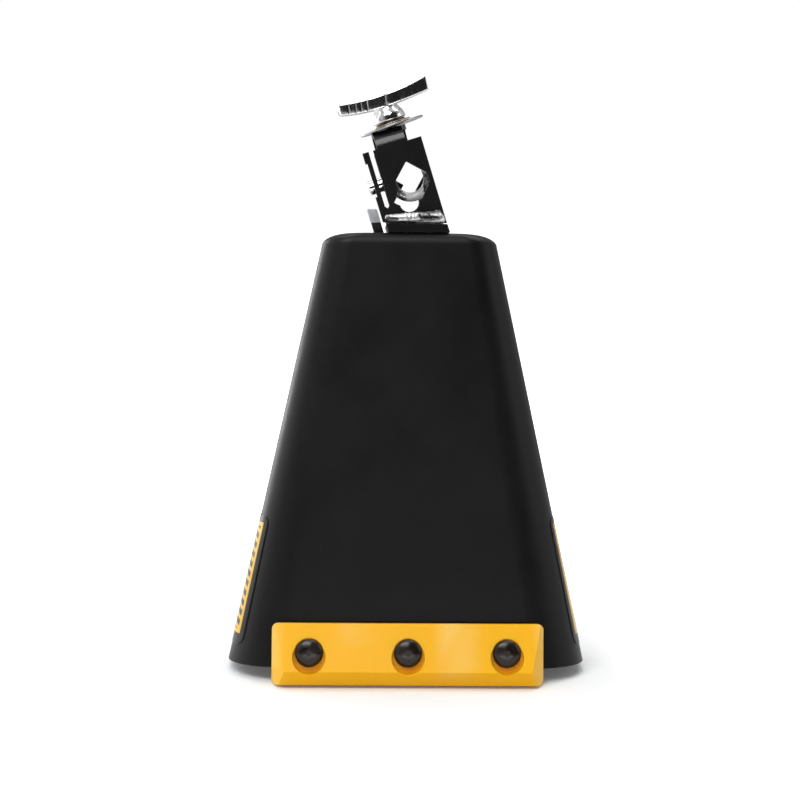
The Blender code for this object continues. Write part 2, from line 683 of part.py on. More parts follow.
def make_bead(name, y):
    """A lumpy weld bead along the bracket's foot, level with the closed end."""
    curve = bpy.data.curves.new(name, "CURVE")
    curve.dimensions = "3D"
    curve.bevel_depth = BEAD_RADIUS
    curve.bevel_resolution = 1
    curve.use_fill_caps = True
    spline = curve.splines.new("POLY")
    count = 4 * BEAD_LUMPS
    spline.points.add(count)
    height = BASE_THICKNESS + GAP + BEAD_RADIUS * (1 + BEAD_WAVE)
    for i, point in enumerate(spline.points):
        t = i / count
        x = BASE_LEFT + BEAD_RADIUS + (BASE_RIGHT - BASE_LEFT - 2 * BEAD_RADIUS) * t
        point.co = (x, y, foot_height(x, height), 1)
        point.radius = 1 + BEAD_WAVE * sin(2 * pi * BEAD_LUMPS * t)
    return finish(curve_to_mesh(place(name, curve, BRACKET)), GLOSS_PAINT, smooth=True)


def make_beads():
    offset = BEAD_RADIUS * (1 + BEAD_WAVE) + GAP
    make_bead("bracket_weld_front", -(BRACKET_HALF_DEPTH + offset))
    make_bead("bracket_weld_rear", BRACKET_HALF_DEPTH - BRACKET_SHEET - offset)


def make_lug():
    """Small upright lug beside the bracket's left foot that stops the alignment arm."""
    outline = leaning_outline(LUG_LEFT, LUG_RIGHT, 0, LUG_HEIGHT)
    lug = flat_piece("stop_lug", outline, -LUG_HALF_DEPTH, LUG_HALF_DEPTH, BRACKET, FRONT_VIEW)
    add_bevel(lug, GAP, 1)
    return finish(lug, GLOSS_PAINT)


# ---------------------------------------------------------------- eye bolt, washers and wing nut

def eye_loop():
    """The eye's bent bar: a long loop round the rod's hole, as a welded mesh."""
    curve = bpy.data.curves.new("eye_loop", "CURVE")
    curve.dimensions = "3D"
    curve.bevel_depth = EYE_BAR_RADIUS
    curve.bevel_resolution = 2
    spline = curve.splines.new("POLY")
    path = arc((0, 0), EYE_RADIUS, 180, 360, 12) + arc((0, EYE_STRAIGHT), EYE_RADIUS, 0, 180, 12)
    spline.points.add(len(path) - 1)
    for point, (x, z) in zip(spline.points, path):
        point.co = (x, 0, z, 1)
    spline.use_cyclic_u = True
    return hide_cutter(curve_to_mesh(place("eye_loop", curve, BOLT, collection=CUTTERS)))


def make_eye_bolt():
    """Loop and threaded shank in one piece; the rod passes through the loop along Y."""
    root = EYE_STRAIGHT + EYE_RADIUS - EYE_BAR_RADIUS / 2
    bolt = cylinder("eye_bolt", SHANK_RADIUS, root, SHANK_TOP, BOLT, segments=24)
    add_boolean(bolt, eye_loop(), "UNION")
    return finish(bolt, CHROME, smooth=True)


def make_arm():
    """Round arm on the eye's left side; it meets the finger or the lug if the eye turns."""
    near = EYE_RADIUS + EYE_BAR_RADIUS + GAP
    arm = cylinder("alignment_arm", ARM_RADIUS, near, -ARM_END, BOLT, (0, 0, ARM_HEIGHT), (0, -pi / 2, 0), 24)
    add_bevel(arm, 2 * GAP, 2)
    return finish(arm, CHROME, smooth=True)


def make_washer(name, size, low, look):
    outer, inner, thickness = size
    profile = [(inner, low), (outer, low), (outer, low + thickness), (inner, low + thickness)]
    finish(turned_piece(name, profile, BOLT, segments=36), look, smooth=True)
    return low + thickness + GAP


def make_washers():
    level = make_washer("large_washer", LARGE_WASHER, WASHER_SEAT, CHROME)
    level = make_washer("flat_washer", FLAT_WASHER, level, BRASS)
    make_washer("lock_washer", LOCK_WASHER, level, DARK_STEEL)


def wing_outline():
    """Front view of the wings: a band that curves up, narrows to the left and deepens to the right."""
    half = WING_SPAN / 2
    middle = NUT_HEIGHT - WING_FACE / 2
    lower, upper = [], []
    for i in range(WING_STEPS + 1):
        reach = 2 * i / WING_STEPS - 1
        z = middle + WING_RISE * reach ** 2
        half_face = WING_FACE / 2 * (1 - WING_TAPER * abs(reach))
        lower.append((half * reach, z - half_face - WING_DROP * max(0, reach) ** 2))
        upper.append((half * reach, z + half_face))
    return lower + upper[::-1]


def nut_profile():
    """Radius and height of the wing nut's turned boss, which narrows under the wings."""
    top = NUT_HEIGHT - NUT_EDGE
    return [(0, 0), (NUT_BASE_RADIUS - NUT_EDGE, 0), (NUT_BASE_RADIUS, NUT_EDGE),
            (NUT_BASE_RADIUS - NUT_EDGE / 2, NUT_BOSS_HEIGHT / 3),
            (NUT_NECK_RADIUS + NUT_EDGE, NUT_BOSS_HEIGHT - NUT_EDGE),
            (NUT_NECK_RADIUS, NUT_BOSS_HEIGHT), (NUT_NECK_RADIUS, top), (0, top)]


def make_wing_nut():
    """Boss and wings in one piece; the wings lean with a twist and thin towards their ends."""
    nut = turned_piece("wing_nut", nut_profile(), NUT)
    wings = flat_cutter("wing_tool", wing_outline(), -WING_HALF_DEPTH, WING_HALF_DEPTH, NUT, FRONT_VIEW)
    lower_edge = NUT_HEIGHT - WING_FACE
    for vertex in wings.data.vertices:
        side = vertex.co.z / WING_HALF_DEPTH
        reach = vertex.co.x / (WING_SPAN / 2)
        vertex.co.x -= WING_TWIST * side * (vertex.co.y - lower_edge) / WING_FACE
        vertex.co.z *= 1 - WING_THINNING * reach ** 2
    add_boolean(nut, wings, "UNION")
    bore = cylinder("nut_bore", NUT_BORE_RADIUS, -OVERCUT, NUT_BORE_DEPTH, NUT, collection=CUTTERS)
    add_boolean(nut, hide_cutter(bore))
    return finish(nut, CHROME, smooth=True)


# ---------------------------------------------------------------- assembly

clear_scene()
PARTS = new_collection("cowbell")
CUTTERS = new_collection("cutters")
BELL = new_frame("bell_frame", None, (0, SETBACK, MOUTH_HALF_DEPTH * sin(LEAN)), (-LEAN, 0, 0))
FACE = new_frame("face_frame", BELL, (0, -MOUTH_HALF_DEPTH, 0), (-FACE_SLOPE, 0, 0))
BRACKET = new_frame("bracket_frame", BELL, (BRACKET_X, 0, BELL_HEIGHT + GAP), (0, -BRACKET_LEAN, 0))
BOLT = new_frame("bolt_frame", BRACKET, (EYE_X, EYE_Y, EYE_HEIGHT), (BOLT_TILT_FRONT, -BOLT_TILT_SIDE, 0))
NUT = new_frame("nut_frame", BOLT, (0, 0, NUT_SEAT), (0, 0, 0))

front_shell = make_shell("bell_front_shell", -1)
drill_shell(front_shell)
make_shell("bell_rear_shell", 1)
make_seam_welds()
make_bar()
make_rivets()
make_sticker("sticker_left", -1)
make_sticker("sticker_right", 1)
make_bracket()
make_base_plate()
make_beads()
make_lug()
make_eye_bolt()
make_arm()
make_washers()
make_wing_nut()
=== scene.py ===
"""Looks of a drummer's cowbell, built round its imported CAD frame: paint, plastic, chrome, labels and stage.

Metres, +Z up. Each new piece is modelled in one of the part's own frames and then moved into the row frame,
so that its object stays at the origin and its textures read the row frame's coordinates.
"""

from math import atan, cos, exp, hypot, pi, radians, sin

import bmesh
import bpy
from mathutils import Euler, Matrix, Vector, noise


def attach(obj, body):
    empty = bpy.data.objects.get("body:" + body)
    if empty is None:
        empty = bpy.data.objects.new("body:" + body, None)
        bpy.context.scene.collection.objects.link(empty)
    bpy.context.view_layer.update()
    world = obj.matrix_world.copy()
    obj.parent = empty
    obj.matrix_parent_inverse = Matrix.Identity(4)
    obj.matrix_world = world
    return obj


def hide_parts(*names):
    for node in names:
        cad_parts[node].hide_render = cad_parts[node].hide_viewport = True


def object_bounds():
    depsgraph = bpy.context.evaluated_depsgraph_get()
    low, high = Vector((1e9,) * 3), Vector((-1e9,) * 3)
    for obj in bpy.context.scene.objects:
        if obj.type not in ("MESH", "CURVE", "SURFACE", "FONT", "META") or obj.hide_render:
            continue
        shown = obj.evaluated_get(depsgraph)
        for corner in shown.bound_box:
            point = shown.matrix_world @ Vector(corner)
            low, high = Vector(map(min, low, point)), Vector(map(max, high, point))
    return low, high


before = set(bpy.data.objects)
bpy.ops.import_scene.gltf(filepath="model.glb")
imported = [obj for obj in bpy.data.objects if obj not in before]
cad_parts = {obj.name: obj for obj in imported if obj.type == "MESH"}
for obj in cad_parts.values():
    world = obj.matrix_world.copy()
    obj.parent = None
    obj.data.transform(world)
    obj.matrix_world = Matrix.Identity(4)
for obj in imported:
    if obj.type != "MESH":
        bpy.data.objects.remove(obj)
CAD_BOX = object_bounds()

MM = 0.001
GAP = 0.3 * MM

# Bell body
BELL_HEIGHT = 203 * MM
MOUTH_HALF_WIDTH = 84.8 * MM
MOUTH_HALF_DEPTH = 37 * MM
MOUTH_CORNER = 28 * MM
END_HALF_WIDTH = 40.5 * MM
END_HALF_DEPTH = 19 * MM
END_CORNER = 14 * MM
SHEET = 1.6 * MM
END_ROUND_HEIGHT = 6 * MM
END_ROUND_SIDE = 14 * MM
END_ROUND_FRONT = 4.5 * MM
SEAM_HALF_GAP = 1.02 * MM
RIM_ROUND = 0.5 * MM
CORNER_STEPS = 20
END_ROUND_STEPS = 12
WALL_STEPS = 6

# Striking bar and rivets, in the face frame
BAR_HALF_LENGTH = 63 * MM
BAR_BOTTOM = -7.1 * MM
BAR_TOP = 21.0 * MM
BAR_DEPTH = 13 * MM
BAR_TOP_DEPTH = 5 * MM
BAR_CHAMFER_HEIGHT = 6.3 * MM
BAR_CHAMFER_DEPTH = 4.5 * MM
BAR_END_STRAIGHT = 2.8 * MM
BAR_END_SLANT = 0.58
BAR_ROUND = 1.1 * MM
BAR_CORNER = 2.9 * MM
BAR_CORNER_STEPS = 10
RIVET_HEIGHT = 7.5 * MM
RIVET_PITCH = 45.6 * MM
RIVET_HEAD_RADIUS = 6.5 * MM
RIVET_HEAD_HEIGHT = 3.4 * MM
RIVET_RIM_HEIGHT = 0.8 * MM
RIVET_SHANK_RADIUS = 2.4 * MM
RIVET_TAIL_RADIUS = 4.2 * MM
RIVET_TAIL_LENGTH = 1.4 * MM
RIVET_DIMPLE_RADIUS = 1.5 * MM
RIVET_DIMPLE_DEPTH = 0.14 * MM
RIVET_DOME_STEPS = 18
RIVET_RING_PITCH = 0.55 * MM
RECESS_RADIUS = 7.7 * MM
RECESS_DROP = 1.8 * MM
RECESS_FLOOR = 7.0 * MM
RECESS_ROUND = 0.4 * MM
HEAD_CLEARANCE = 0.4 * MM
BURR_THICKNESS = 1.2 * MM

# Labels round the narrow sides
LABEL_LIFT = 0.03 * MM
LABEL_THICKNESS = 0.2 * MM
LABEL_BOTTOM = 8.7 * MM
LABEL_TOP = 68.7 * MM
LABEL_WRAP = {-1: 0.42, 1: 0.33}
LABEL_CORNER = 4.5 * MM
LABEL_COLUMNS = 48
LABEL_ROWS = 48
FIELD_SPAN = (-0.84, 0.90)
INK_SPAN = (-0.78, 0.84)
INK_BARS = 6.6
INK_SLANT = 0.22

# Bracket frame, base, welds
BRACKET_X = 3.7 * MM
BRACKET_LEAN = radians(17.3)
BRACKET_HALF_DEPTH = 14.5 * MM
BRACKET_SHEET = 2.4 * MM
BASE_LEFT = -13.4 * MM
BASE_RIGHT = 14.45 * MM
BASE_THICKNESS = 4 * MM
BEAD_RADIUS = 1.8 * MM
BEAD_WAVE = 0.1
BEAD_RINGS = 110
BEAD_SIDES = 16
BEAD_RIPPLES = 13
BEAD_CLIMB = 1.6
BEAD_END = 0.5 * MM
BEAD_TAPER = 0.04
BEAD_TIP = 0.12
BEAD_BODY = 0.94
BEAD_RIPPLE = 0.06
BEAD_WANDER = 0.08
BEAD_LUMP = 0.10
LUG_BARE_HEIGHT = 5.2 * MM
BRACKET_ROUND = 0.45 * MM
BASE_ROUND = 0.6 * MM
LUG_ROUND = 0.7 * MM

# Eye bolt, washers and wing nut, along the bolt frame's Z
EYE_X = 4.4 * MM
EYE_Y = 1.0 * MM
EYE_HEIGHT = 26.2 * MM
BOLT_TILT_SIDE = radians(2.2)
BOLT_TILT_FRONT = radians(3)
EYE_RADIUS = 8.6 * MM
EYE_BAR_RADIUS = 2.2 * MM
EYE_STRAIGHT = 5 * MM
EYE_STEPS = 40
EYE_SIDES = 20
SHANK_RADIUS = 3.1 * MM
SHANK_TOP = 36.0 * MM
THREAD_PITCH = 1.27 * MM
THREAD_DEPTH = 0.55 * MM
THREAD_ROWS = 8
ARM_RADIUS = 3.5 * MM
ARM_HEIGHT = 1.8 * MM
ARM_END = -20.2 * MM
ARM_NECK = 0.5 * MM
ARM_NECK_END = 1.2 * MM
ARM_COLLAR = 1.9 * MM
ARM_ROUND = 0.9 * MM
ARM_DIMPLE = 0.1 * MM
LARGE_WASHER = (15.6 * MM, 3.6 * MM, 0.8 * MM)
FLAT_WASHER = (9.5 * MM, 3.5 * MM, 0.8 * MM)
LOCK_WASHER = (7.2 * MM, 3.5 * MM, 0.6 * MM)
WASHER_SEAT = 26.2 * MM
WASHER_EDGE = 0.3
LOCK_WASHER_TURN = radians(350)
NUT_BASE_RADIUS = 7.9 * MM
NUT_NECK_RADIUS = 5.6 * MM
NUT_CORE_RADIUS = 3.9 * MM
NUT_FOOT_ROUND = 0.6 * MM
NUT_FOOT_INSET = 0.25 * MM
NUT_WAIST_START = 0.30
NUT_WAIST_SHARE = 0.68
NUT_WAIST_STEPS = 8
NUT_CROWN_ROUND = 1.2 * MM
NUT_CROWN_DROP = 1.3 * MM
NUT_BORE_CHAMFER = 0.4 * MM
NUT_BOSS_HEIGHT = 7.2 * MM
NUT_HEIGHT = 12.4 * MM
NUT_BORE_RADIUS = 3.5 * MM
NUT_BORE_DEPTH = 9.3 * MM
WING_HALF_SPAN = 22 * MM
WING_RISE = 2.6 * MM
WING_FACE = 5.6 * MM
WING_HALF_DEPTH = 5.0 * MM
WING_TWIST = 1.3 * MM
WING_TAPER = 0.1
WING_DROP = 1.6 * MM
WING_THINNING = 0.5
WING_ROUND = 0.28 * MM
WING_LOWER_ROUND = 0.6 * MM
WING_END_ROUND = 0.6 * MM
WING_END_STEPS = 5
WING_STEPS = 130
GRIP_PLACES = (-17.9 * MM, -14.6 * MM, -12.0 * MM, -8.9 * MM)
GRIP_WIDTH = 0.34 * MM
GRIP_DEPTH = 0.30 * MM
FLUTE_START = -0.6 * MM
FLUTE_WIDTH = 3.4 * MM
FLUTE_DEPTH = 1.1 * MM

FACE_SLOPE = atan((MOUTH_HALF_DEPTH - END_HALF_DEPTH) / BELL_HEIGHT)
HEEL_REACH = GAP * cos(FACE_SLOPE) - BAR_BOTTOM * sin(FACE_SLOPE)
HEEL_HEIGHT = GAP * sin(FACE_SLOPE) + BAR_BOTTOM * cos(FACE_SLOPE)
LEAN = atan(-HEEL_HEIGHT / (2 * MOUTH_HALF_DEPTH + HEEL_REACH))
SETBACK = 5.64 * MM
NUT_SEAT = WASHER_SEAT + LARGE_WASHER[2] + FLAT_WASHER[2] + LOCK_WASHER[2] + 3 * GAP

WELD_DISTANCE = 0.005 * MM
SMOOTH_ANGLE = radians(35)
FINE_ROUND = 48
FLAT_ANGLE = radians(0.5)
SHELL_ANGLE = radians(50)
BAR_ANGLE = radians(12)
RECESS_ANGLE = radians(48)
BRACKET_ANGLE = radians(30)
NUT_ANGLE = radians(40)

# Texture sizes, in features a metre, the reach of the worn rim and the reach of the eye's painted highlight
COATING_GRAIN = 1500
SPECK_GRAIN = 4200
SPECK_EDGE = 0.03
RIM_WEAR = 0.5 * MM
EYE_HIGHLIGHT_REACH = 4.6 * MM

# Colours, linear
BELL_BLACK = (0.0040, 0.0040, 0.0043)
BELL_WORN = (0.06, 0.06, 0.06)
BRACKET_BLACK = (0.0085, 0.0085, 0.0090)
PLATE_BLACK = (0.006, 0.006, 0.0064)
BRACKET_WORN = (0.16, 0.16, 0.16)
LUG_BRIGHT = (0.56, 0.57, 0.60)
LUG_DULL = (0.40, 0.41, 0.43)
WELD_BLACK = (0.010, 0.010, 0.011)
WELD_PAINTED_SHEEN = (0.62, 0.62, 0.63)
BAR_YELLOW = (0.94, 0.475, 0.004)
BAR_PAINTED_HIGHLIGHT = (0.95, 0.62, 0.16)
BAR_SCUFF = (0.62, 0.34, 0.07)
RIVET_BRONZE = (0.013, 0.008, 0.006)
RIVET_RING = (0.10, 0.075, 0.06)
EYE_PAINTED_HIGHLIGHT = (0.97, 0.97, 0.97)
EYE_GREY = (0.62, 0.62, 0.62)
EYE_BLACK = (0.05, 0.05, 0.052)
PRINT_YELLOW = (0.80, 0.42, 0.012)
PRINT_FADED = (0.74, 0.46, 0.05)
PRINT_INK = (0.018, 0.016, 0.015)
FILM_BLACK = (0.006, 0.005, 0.0045)
FILM_FADED = (0.012, 0.010, 0.009)


# ---------------------------------------------------------------- frames

def turned_frame(parent, place, angles):
    return parent @ Matrix.Translation(place) @ Euler(angles).to_matrix().to_4x4()


BELL = turned_frame(Matrix(), (0, SETBACK, MOUTH_HALF_DEPTH * sin(LEAN)), (-LEAN, 0, 0))
FACE = turned_frame(BELL, (0, -MOUTH_HALF_DEPTH, 0), (-FACE_SLOPE, 0, 0))
BRACKET = turned_frame(BELL, (BRACKET_X, 0, BELL_HEIGHT + GAP), (0, -BRACKET_LEAN, 0))
BOLT = turned_frame(BRACKET, (EYE_X, EYE_Y, EYE_HEIGHT), (BOLT_TILT_FRONT, -BOLT_TILT_SIDE, 0))
NUT = turned_frame(BOLT, (0, 0, NUT_SEAT), (0, 0, 0))


# ---------------------------------------------------------------- shader helpers

class Look:
    """A node material in the making: one Principled shader and short calls for the nodes that feed it."""

    def __init__(self, name, roughness=0.4, metallic=0.0, specular=0.5, coat=0.0, coat_roughness=0.05):
        self.material = bpy.data.materials.new(name)
        self.material.use_nodes = True
        self.tree = self.material.node_tree
        self.shader = self.tree.nodes["Principled BSDF"]
        for socket, value in (("Roughness", roughness), ("Metallic", metallic),
                              ("Specular IOR Level", specular), ("Coat Weight", coat),
                              ("Coat Roughness", coat_roughness)):
            self.shader.inputs[socket].default_value = value
        self.place = self.tree.nodes.new("ShaderNodeTexCoord").outputs["Object"]

    def add(self, kind, **settings):
        made = self.tree.nodes.new(kind)
        for key, value in settings.items():
            setattr(made, key, value)
        return made

    def feed(self, socket, value):
        if isinstance(value, bpy.types.NodeSocket):
            self.tree.links.new(value, socket)
        else:
            socket.default_value = value

    def math(self, operation, *values):
        made = self.add("ShaderNodeMath", operation=operation)
        for socket, value in zip(made.inputs, values):
            self.feed(socket, value)
        return made.outputs[0]

    def noise(self, scale, detail=3.0, roughness=0.55, distortion=0.0, stretch=(1, 1, 1)):
        mapping = self.add("ShaderNodeMapping")
        mapping.inputs["Scale"].default_value = stretch
        self.feed(mapping.inputs["Vector"], self.place)
        made = self.add("ShaderNodeTexNoise")
        self.feed(made.inputs["Vector"], mapping.outputs[0])
        for key, value in (("Scale", scale), ("Detail", detail), ("Roughness", roughness),
                           ("Distortion", distortion)):
            made.inputs[key].default_value = value
        return made.outputs["Fac"]

    def ranged(self, value, from_low, from_high, to_low=0, to_high=1):
        made = self.add("ShaderNodeMapRange")
        for key, number in (("Value", value), ("From Min", from_low), ("From Max", from_high),
                            ("To Min", to_low), ("To Max", to_high)):
            self.feed(made.inputs[key], number)
        return made.outputs[0]

    def mixed(self, share, low, high):
        made = self.add("ShaderNodeMix", data_type="RGBA")
        self.feed(made.inputs["Factor"], share)
        for socket, colour in ((made.inputs["A"], low), (made.inputs["B"], high)):
            self.feed(socket, (*colour, 1) if isinstance(colour, tuple) else colour)
        return made.outputs["Result"]

    def along(self, direction):
        """Distance along a direction of the row frame."""
        made = self.add("ShaderNodeVectorMath", operation="DOT_PRODUCT")
        self.feed(made.inputs[0], self.place)
        made.inputs[1].default_value = direction
        return made.outputs["Value"]

    def bump(self, height, depth, strength=1.0):
        made = self.add("ShaderNodeBump")
        made.inputs["Strength"].default_value = strength
        made.inputs["Distance"].default_value = depth
        self.feed(made.inputs["Height"], height)
        if self.shader.inputs["Normal"].links:
            self.feed(made.inputs["Normal"], self.shader.inputs["Normal"].links[0].from_socket)
        self.feed(self.shader.inputs["Normal"], made.outputs[0])

    def colour(self, value):
        self.feed(self.shader.inputs["Base Color"], value)

    def rough(self, value):
        self.feed(self.shader.inputs["Roughness"], value)

    def metal(self, value):
        self.feed(self.shader.inputs["Metallic"], value)


def coated_metal(name, base, worn, roughness, grain_depth, specks, wear_plane=None, specular=0.2):
    """Black coating: fine orange-peel grain, tiny light specks, cloudy dulling and thin handling scratches.
    wear_plane is (point, direction, reach): within reach of that plane the coating is chipped to metal."""
    look = Look(name, roughness, specular=specular)
    cloud = look.noise(26, 4)
    grain = look.noise(COATING_GRAIN, 2)
    fine = look.noise(SPECK_GRAIN, 1)
    scratch = look.noise(420, 2, stretch=(1, 0.05, 0.05))
    speck = look.ranged(fine, specks, specks + SPECK_EDGE)
    tone = look.mixed(look.ranged(cloud, 0.35, 0.65), base, tuple(1.35 * c for c in base))
    tone = look.mixed(look.math("MULTIPLY", speck, 0.25), tone, worn)
    line = look.ranged(scratch, 0.73, 0.77, 0, 0.12)
    tone = look.mixed(line, tone, worn)
    if wear_plane:
        point, direction, reach = wear_plane
        height = look.math("SUBTRACT", look.along(direction), point.dot(direction))
        edge = look.ranged(height, 0, reach, 0.68, 0.20)
        chip = look.ranged(look.math("SUBTRACT", edge, look.noise(330, 4)), 0.10, 0.14)
        tone = look.mixed(chip, tone, tuple(2.2 * c for c in worn))
        look.metal(look.math("MULTIPLY", chip, 0.8))
    look.colour(tone)
    look.rough(look.math("ADD", look.ranged(cloud, 0.3, 0.7, roughness - 0.05, roughness + 0.06),
                         look.math("MULTIPLY", speck, 0.15)))
    look.bump(grain, grain_depth, 0.6)
    look.bump(fine, grain_depth / 3, 0.4)
    return look.material


def lug_metal(up):
    """The lug: black coating at its foot, ground and plated light grey above a ragged line."""
    look = Look("lug_metal", 0.35, specular=0.4)
    ragged = look.noise(500, 3)
    line = (BELL @ Vector((0, 0, BELL_HEIGHT + LUG_BARE_HEIGHT))).dot(up)
    above = look.math("ADD", look.math("SUBTRACT", look.along(up), line),
                      look.ranged(ragged, 0.3, 0.7, -0.4 * MM, 0.4 * MM))
    bare = look.ranged(above, -0.1 * MM, 0.1 * MM)
    plate = look.mixed(look.ranged(ragged, 0.4, 0.7), LUG_BRIGHT, LUG_DULL)
    look.colour(look.mixed(bare, PLATE_BLACK, plate))
    look.metal(look.math("MULTIPLY", bare, 0.2))
    look.rough(look.ranged(ragged, 0.3, 0.7, 0.28, 0.42))
    look.bump(look.noise(COATING_GRAIN, 2), 0.05 * MM, 0.6)
    return look.material


def weld_paint():
    """Thin glossy black over a weld, pooled and mottled, with painted reflections: light grey patches on the
    crests of a noise.
    """
    look = Look("weld_paint", 0.16, specular=0.8, coat=0.5, coat_roughness=0.08)
    cloud = look.noise(230, 3, distortion=0.8, stretch=(0.2, 1, 0.8))
    spatter = look.noise(900, 3)
    # Painted reflection: the light grey, part metallic patches on the noise crests stand in for the room's
    # reflection in the glossy black paint.
    crest = look.ranged(cloud, 0.50, 0.57)
    look.colour(look.mixed(crest, WELD_BLACK, WELD_PAINTED_SHEEN))
    look.metal(look.math("MULTIPLY", crest, 0.5))
    look.rough(look.ranged(spatter, 0.35, 0.65, 0.12, 0.30))
    look.bump(cloud, 0.3 * MM, 0.6)
    look.bump(spatter, 0.015 * MM, 0.6)
    return look.material


def bar_plastic():
    """Moulded yellow-orange plastic: satin skin, painted highlights as paler patches between the rivets, and
    stick scuffs.
    """
    look = Look("bar_plastic", 0.34, specular=0.2)
    look.shader.inputs["Subsurface Weight"].default_value = 0.4
    look.shader.inputs["Subsurface Radius"].default_value = (1.0, 0.45, 0.08)
    look.shader.inputs["Subsurface Scale"].default_value = 5 * MM
    flow = look.noise(42, 1, distortion=0.5, stretch=(0.6, 1, 1.1))
    skin = look.noise(2600, 2)
    scuff = look.noise(900, 3, stretch=(0.2, 1, 1))
    split = look.add("ShaderNodeSeparateXYZ")
    look.feed(split.inputs[0], look.place)
    # Painted highlight: paler colour peaks midway between the rivets, standing in for the lamps' soft
    # reflections on the bar's front.
    turn = look.math("MULTIPLY", split.outputs[0], 2 * pi / RIVET_PITCH)
    between = look.ranged(look.math("COSINE", turn), 0.1, -1)
    painted_highlight = look.math("MULTIPLY", between, look.ranged(flow, 0.40, 0.66, 0, 0.75))
    tone = look.mixed(painted_highlight, BAR_YELLOW, BAR_PAINTED_HIGHLIGHT)
    tone = look.mixed(look.ranged(scuff, 0.68, 0.80, 0, 0.25), tone, BAR_SCUFF)
    look.colour(tone)
    look.rough(look.ranged(flow, 0.35, 0.65, 0.30, 0.42))
    look.bump(flow, 0.35 * MM, 0.4)
    look.bump(skin, 0.03 * MM, 0.5)
    return look.material


def rivet_steel():
    """Bronzed rivet steel, polished, with turned rings that read the radial distance stored on the mesh."""
    look = Look("rivet_steel", 0.2, specular=0.4, coat=0.15, coat_roughness=0.05)
    radial = look.add("ShaderNodeAttribute", attribute_name="radial").outputs["Fac"]
    rings = look.math("SINE", look.math("MULTIPLY", radial, 2 * pi / RIVET_RING_PITCH))
    smear = look.noise(220, 3)
    ringed = look.math("MULTIPLY", look.ranged(rings, 0.2, 1), look.ranged(smear, 0.45, 0.6))
    look.colour(look.mixed(look.math("MULTIPLY", ringed, 0.4), RIVET_BRONZE, RIVET_RING))
    look.rough(look.ranged(smear, 0.3, 0.7, 0.12, 0.30))
    look.metal(look.ranged(smear, 0.3, 0.7, 0.05, 0.25))
    look.bump(rings, 0.015 * MM, 0.5)
    look.bump(look.noise(1400, 2), 0.02 * MM, 0.5)
    return look.material


def plated(name, bright, dull, roughness, brushing, scale=700, coarse=0.0):
    """Plated metal: fine polishing lines along one axis, cloudy dulling, and pits where it is coarse."""
    look = Look(name, roughness, metallic=1.0)
    cloud = look.noise(120, 4)
    lines = look.noise(scale, 2, stretch=brushing)
    pits = look.noise(1600, 3)
    look.colour(look.mixed(look.ranged(cloud, 0.42, 0.68), bright, dull))
    look.rough(look.ranged(lines, 0.3, 0.7, 0.6 * roughness, 1.7 * roughness))
    look.bump(lines, 0.003 * MM, 0.5)
    look.bump(pits, (0.002 + coarse) * MM, 0.6)
    return look.material


def eye_metal(name, point, direction, reach):
    """Forged and plated eye: painted near-white and barely metallic in the middle as a painted highlight,
    grey and mottled beyond reach.
    direction points to one side of the eye from point."""
    look = Look(name, 0.3)
    away = look.math("ABSOLUTE", look.math("SUBTRACT", look.along(direction), point.dot(direction)))
    mottle = look.noise(420, 4, distortion=0.6)
    edge = look.math("ADD", away, look.ranged(mottle, 0.3, 0.7, -0.25 * reach, 0.25 * reach))
    # Painted highlight: within reach of the middle the eye is coloured near white with little metal, standing
    # in for its bright reflection.
    beyond_highlight = look.ranged(edge, 0.9 * reach, 1.1 * reach)
    dull = look.mixed(look.ranged(mottle, 0.42, 0.52), EYE_GREY, EYE_BLACK)
    look.colour(look.mixed(beyond_highlight, EYE_PAINTED_HIGHLIGHT, dull))
    look.metal(look.ranged(beyond_highlight, 0, 1, 0.10, 0.75))
    look.rough(look.ranged(mottle, 0.3, 0.7, 0.22, 0.42))
    look.bump(look.noise(900, 3), 0.03 * MM, 0.6)
    return look.material


def inside(look, value, low, high, soft=0.004):
    """1 where value lies between low and high, with a soft edge."""
    above = look.ranged(value, low - soft, low + soft)
    below = look.ranged(value, high - soft, high + soft, 1, 0)
    return look.math("MULTIPLY", above, below)


def label_print(name, field, ink_reach):
    """Printed vinyl: a dark border, a yellow field and slanted dark bars, drawn on the label's own layout.
    Layout X runs round the side in shares of half the label's width, Y up it in shares of half its height."""
    look = Look(name, 0.30, specular=0.2)
    layout = look.add("ShaderNodeUVMap", uv_map="label").outputs[0]
    split = look.add("ShaderNodeSeparateXYZ")
    look.feed(split.inputs[0], layout)
    across, up = split.outputs[0], split.outputs[1]
    field = look.math("MULTIPLY", inside(look, across, -field, field), inside(look, up, *FIELD_SPAN))
    slanted = look.math("ADD", up, look.math("MULTIPLY", across, -INK_SLANT))
    cell = look.math("FRACT", look.math("MULTIPLY", slanted, INK_BARS))
    block = inside(look, cell, 0.22, 0.80, 0.04)
    column = look.math("MULTIPLY", inside(look, across, -ink_reach, ink_reach),
                       inside(look, up, *INK_SPAN))
    ink = look.math("MULTIPLY", block, column)
    faded = look.noise(160, 4)
    yellow = look.mixed(look.ranged(faded, 0.4, 0.65), PRINT_YELLOW, PRINT_FADED)
    film = look.mixed(look.ranged(faded, 0.4, 0.7), FILM_BLACK, FILM_FADED)
    tone = look.mixed(ink, yellow, PRINT_INK)
    look.colour(look.mixed(field, film, tone))
    look.rough(look.ranged(faded, 0.3, 0.7, 0.24, 0.38))
    look.bump(look.noise(350, 2), 0.03 * MM, 0.5)
    return look.material


# ---------------------------------------------------------------- mesh helpers

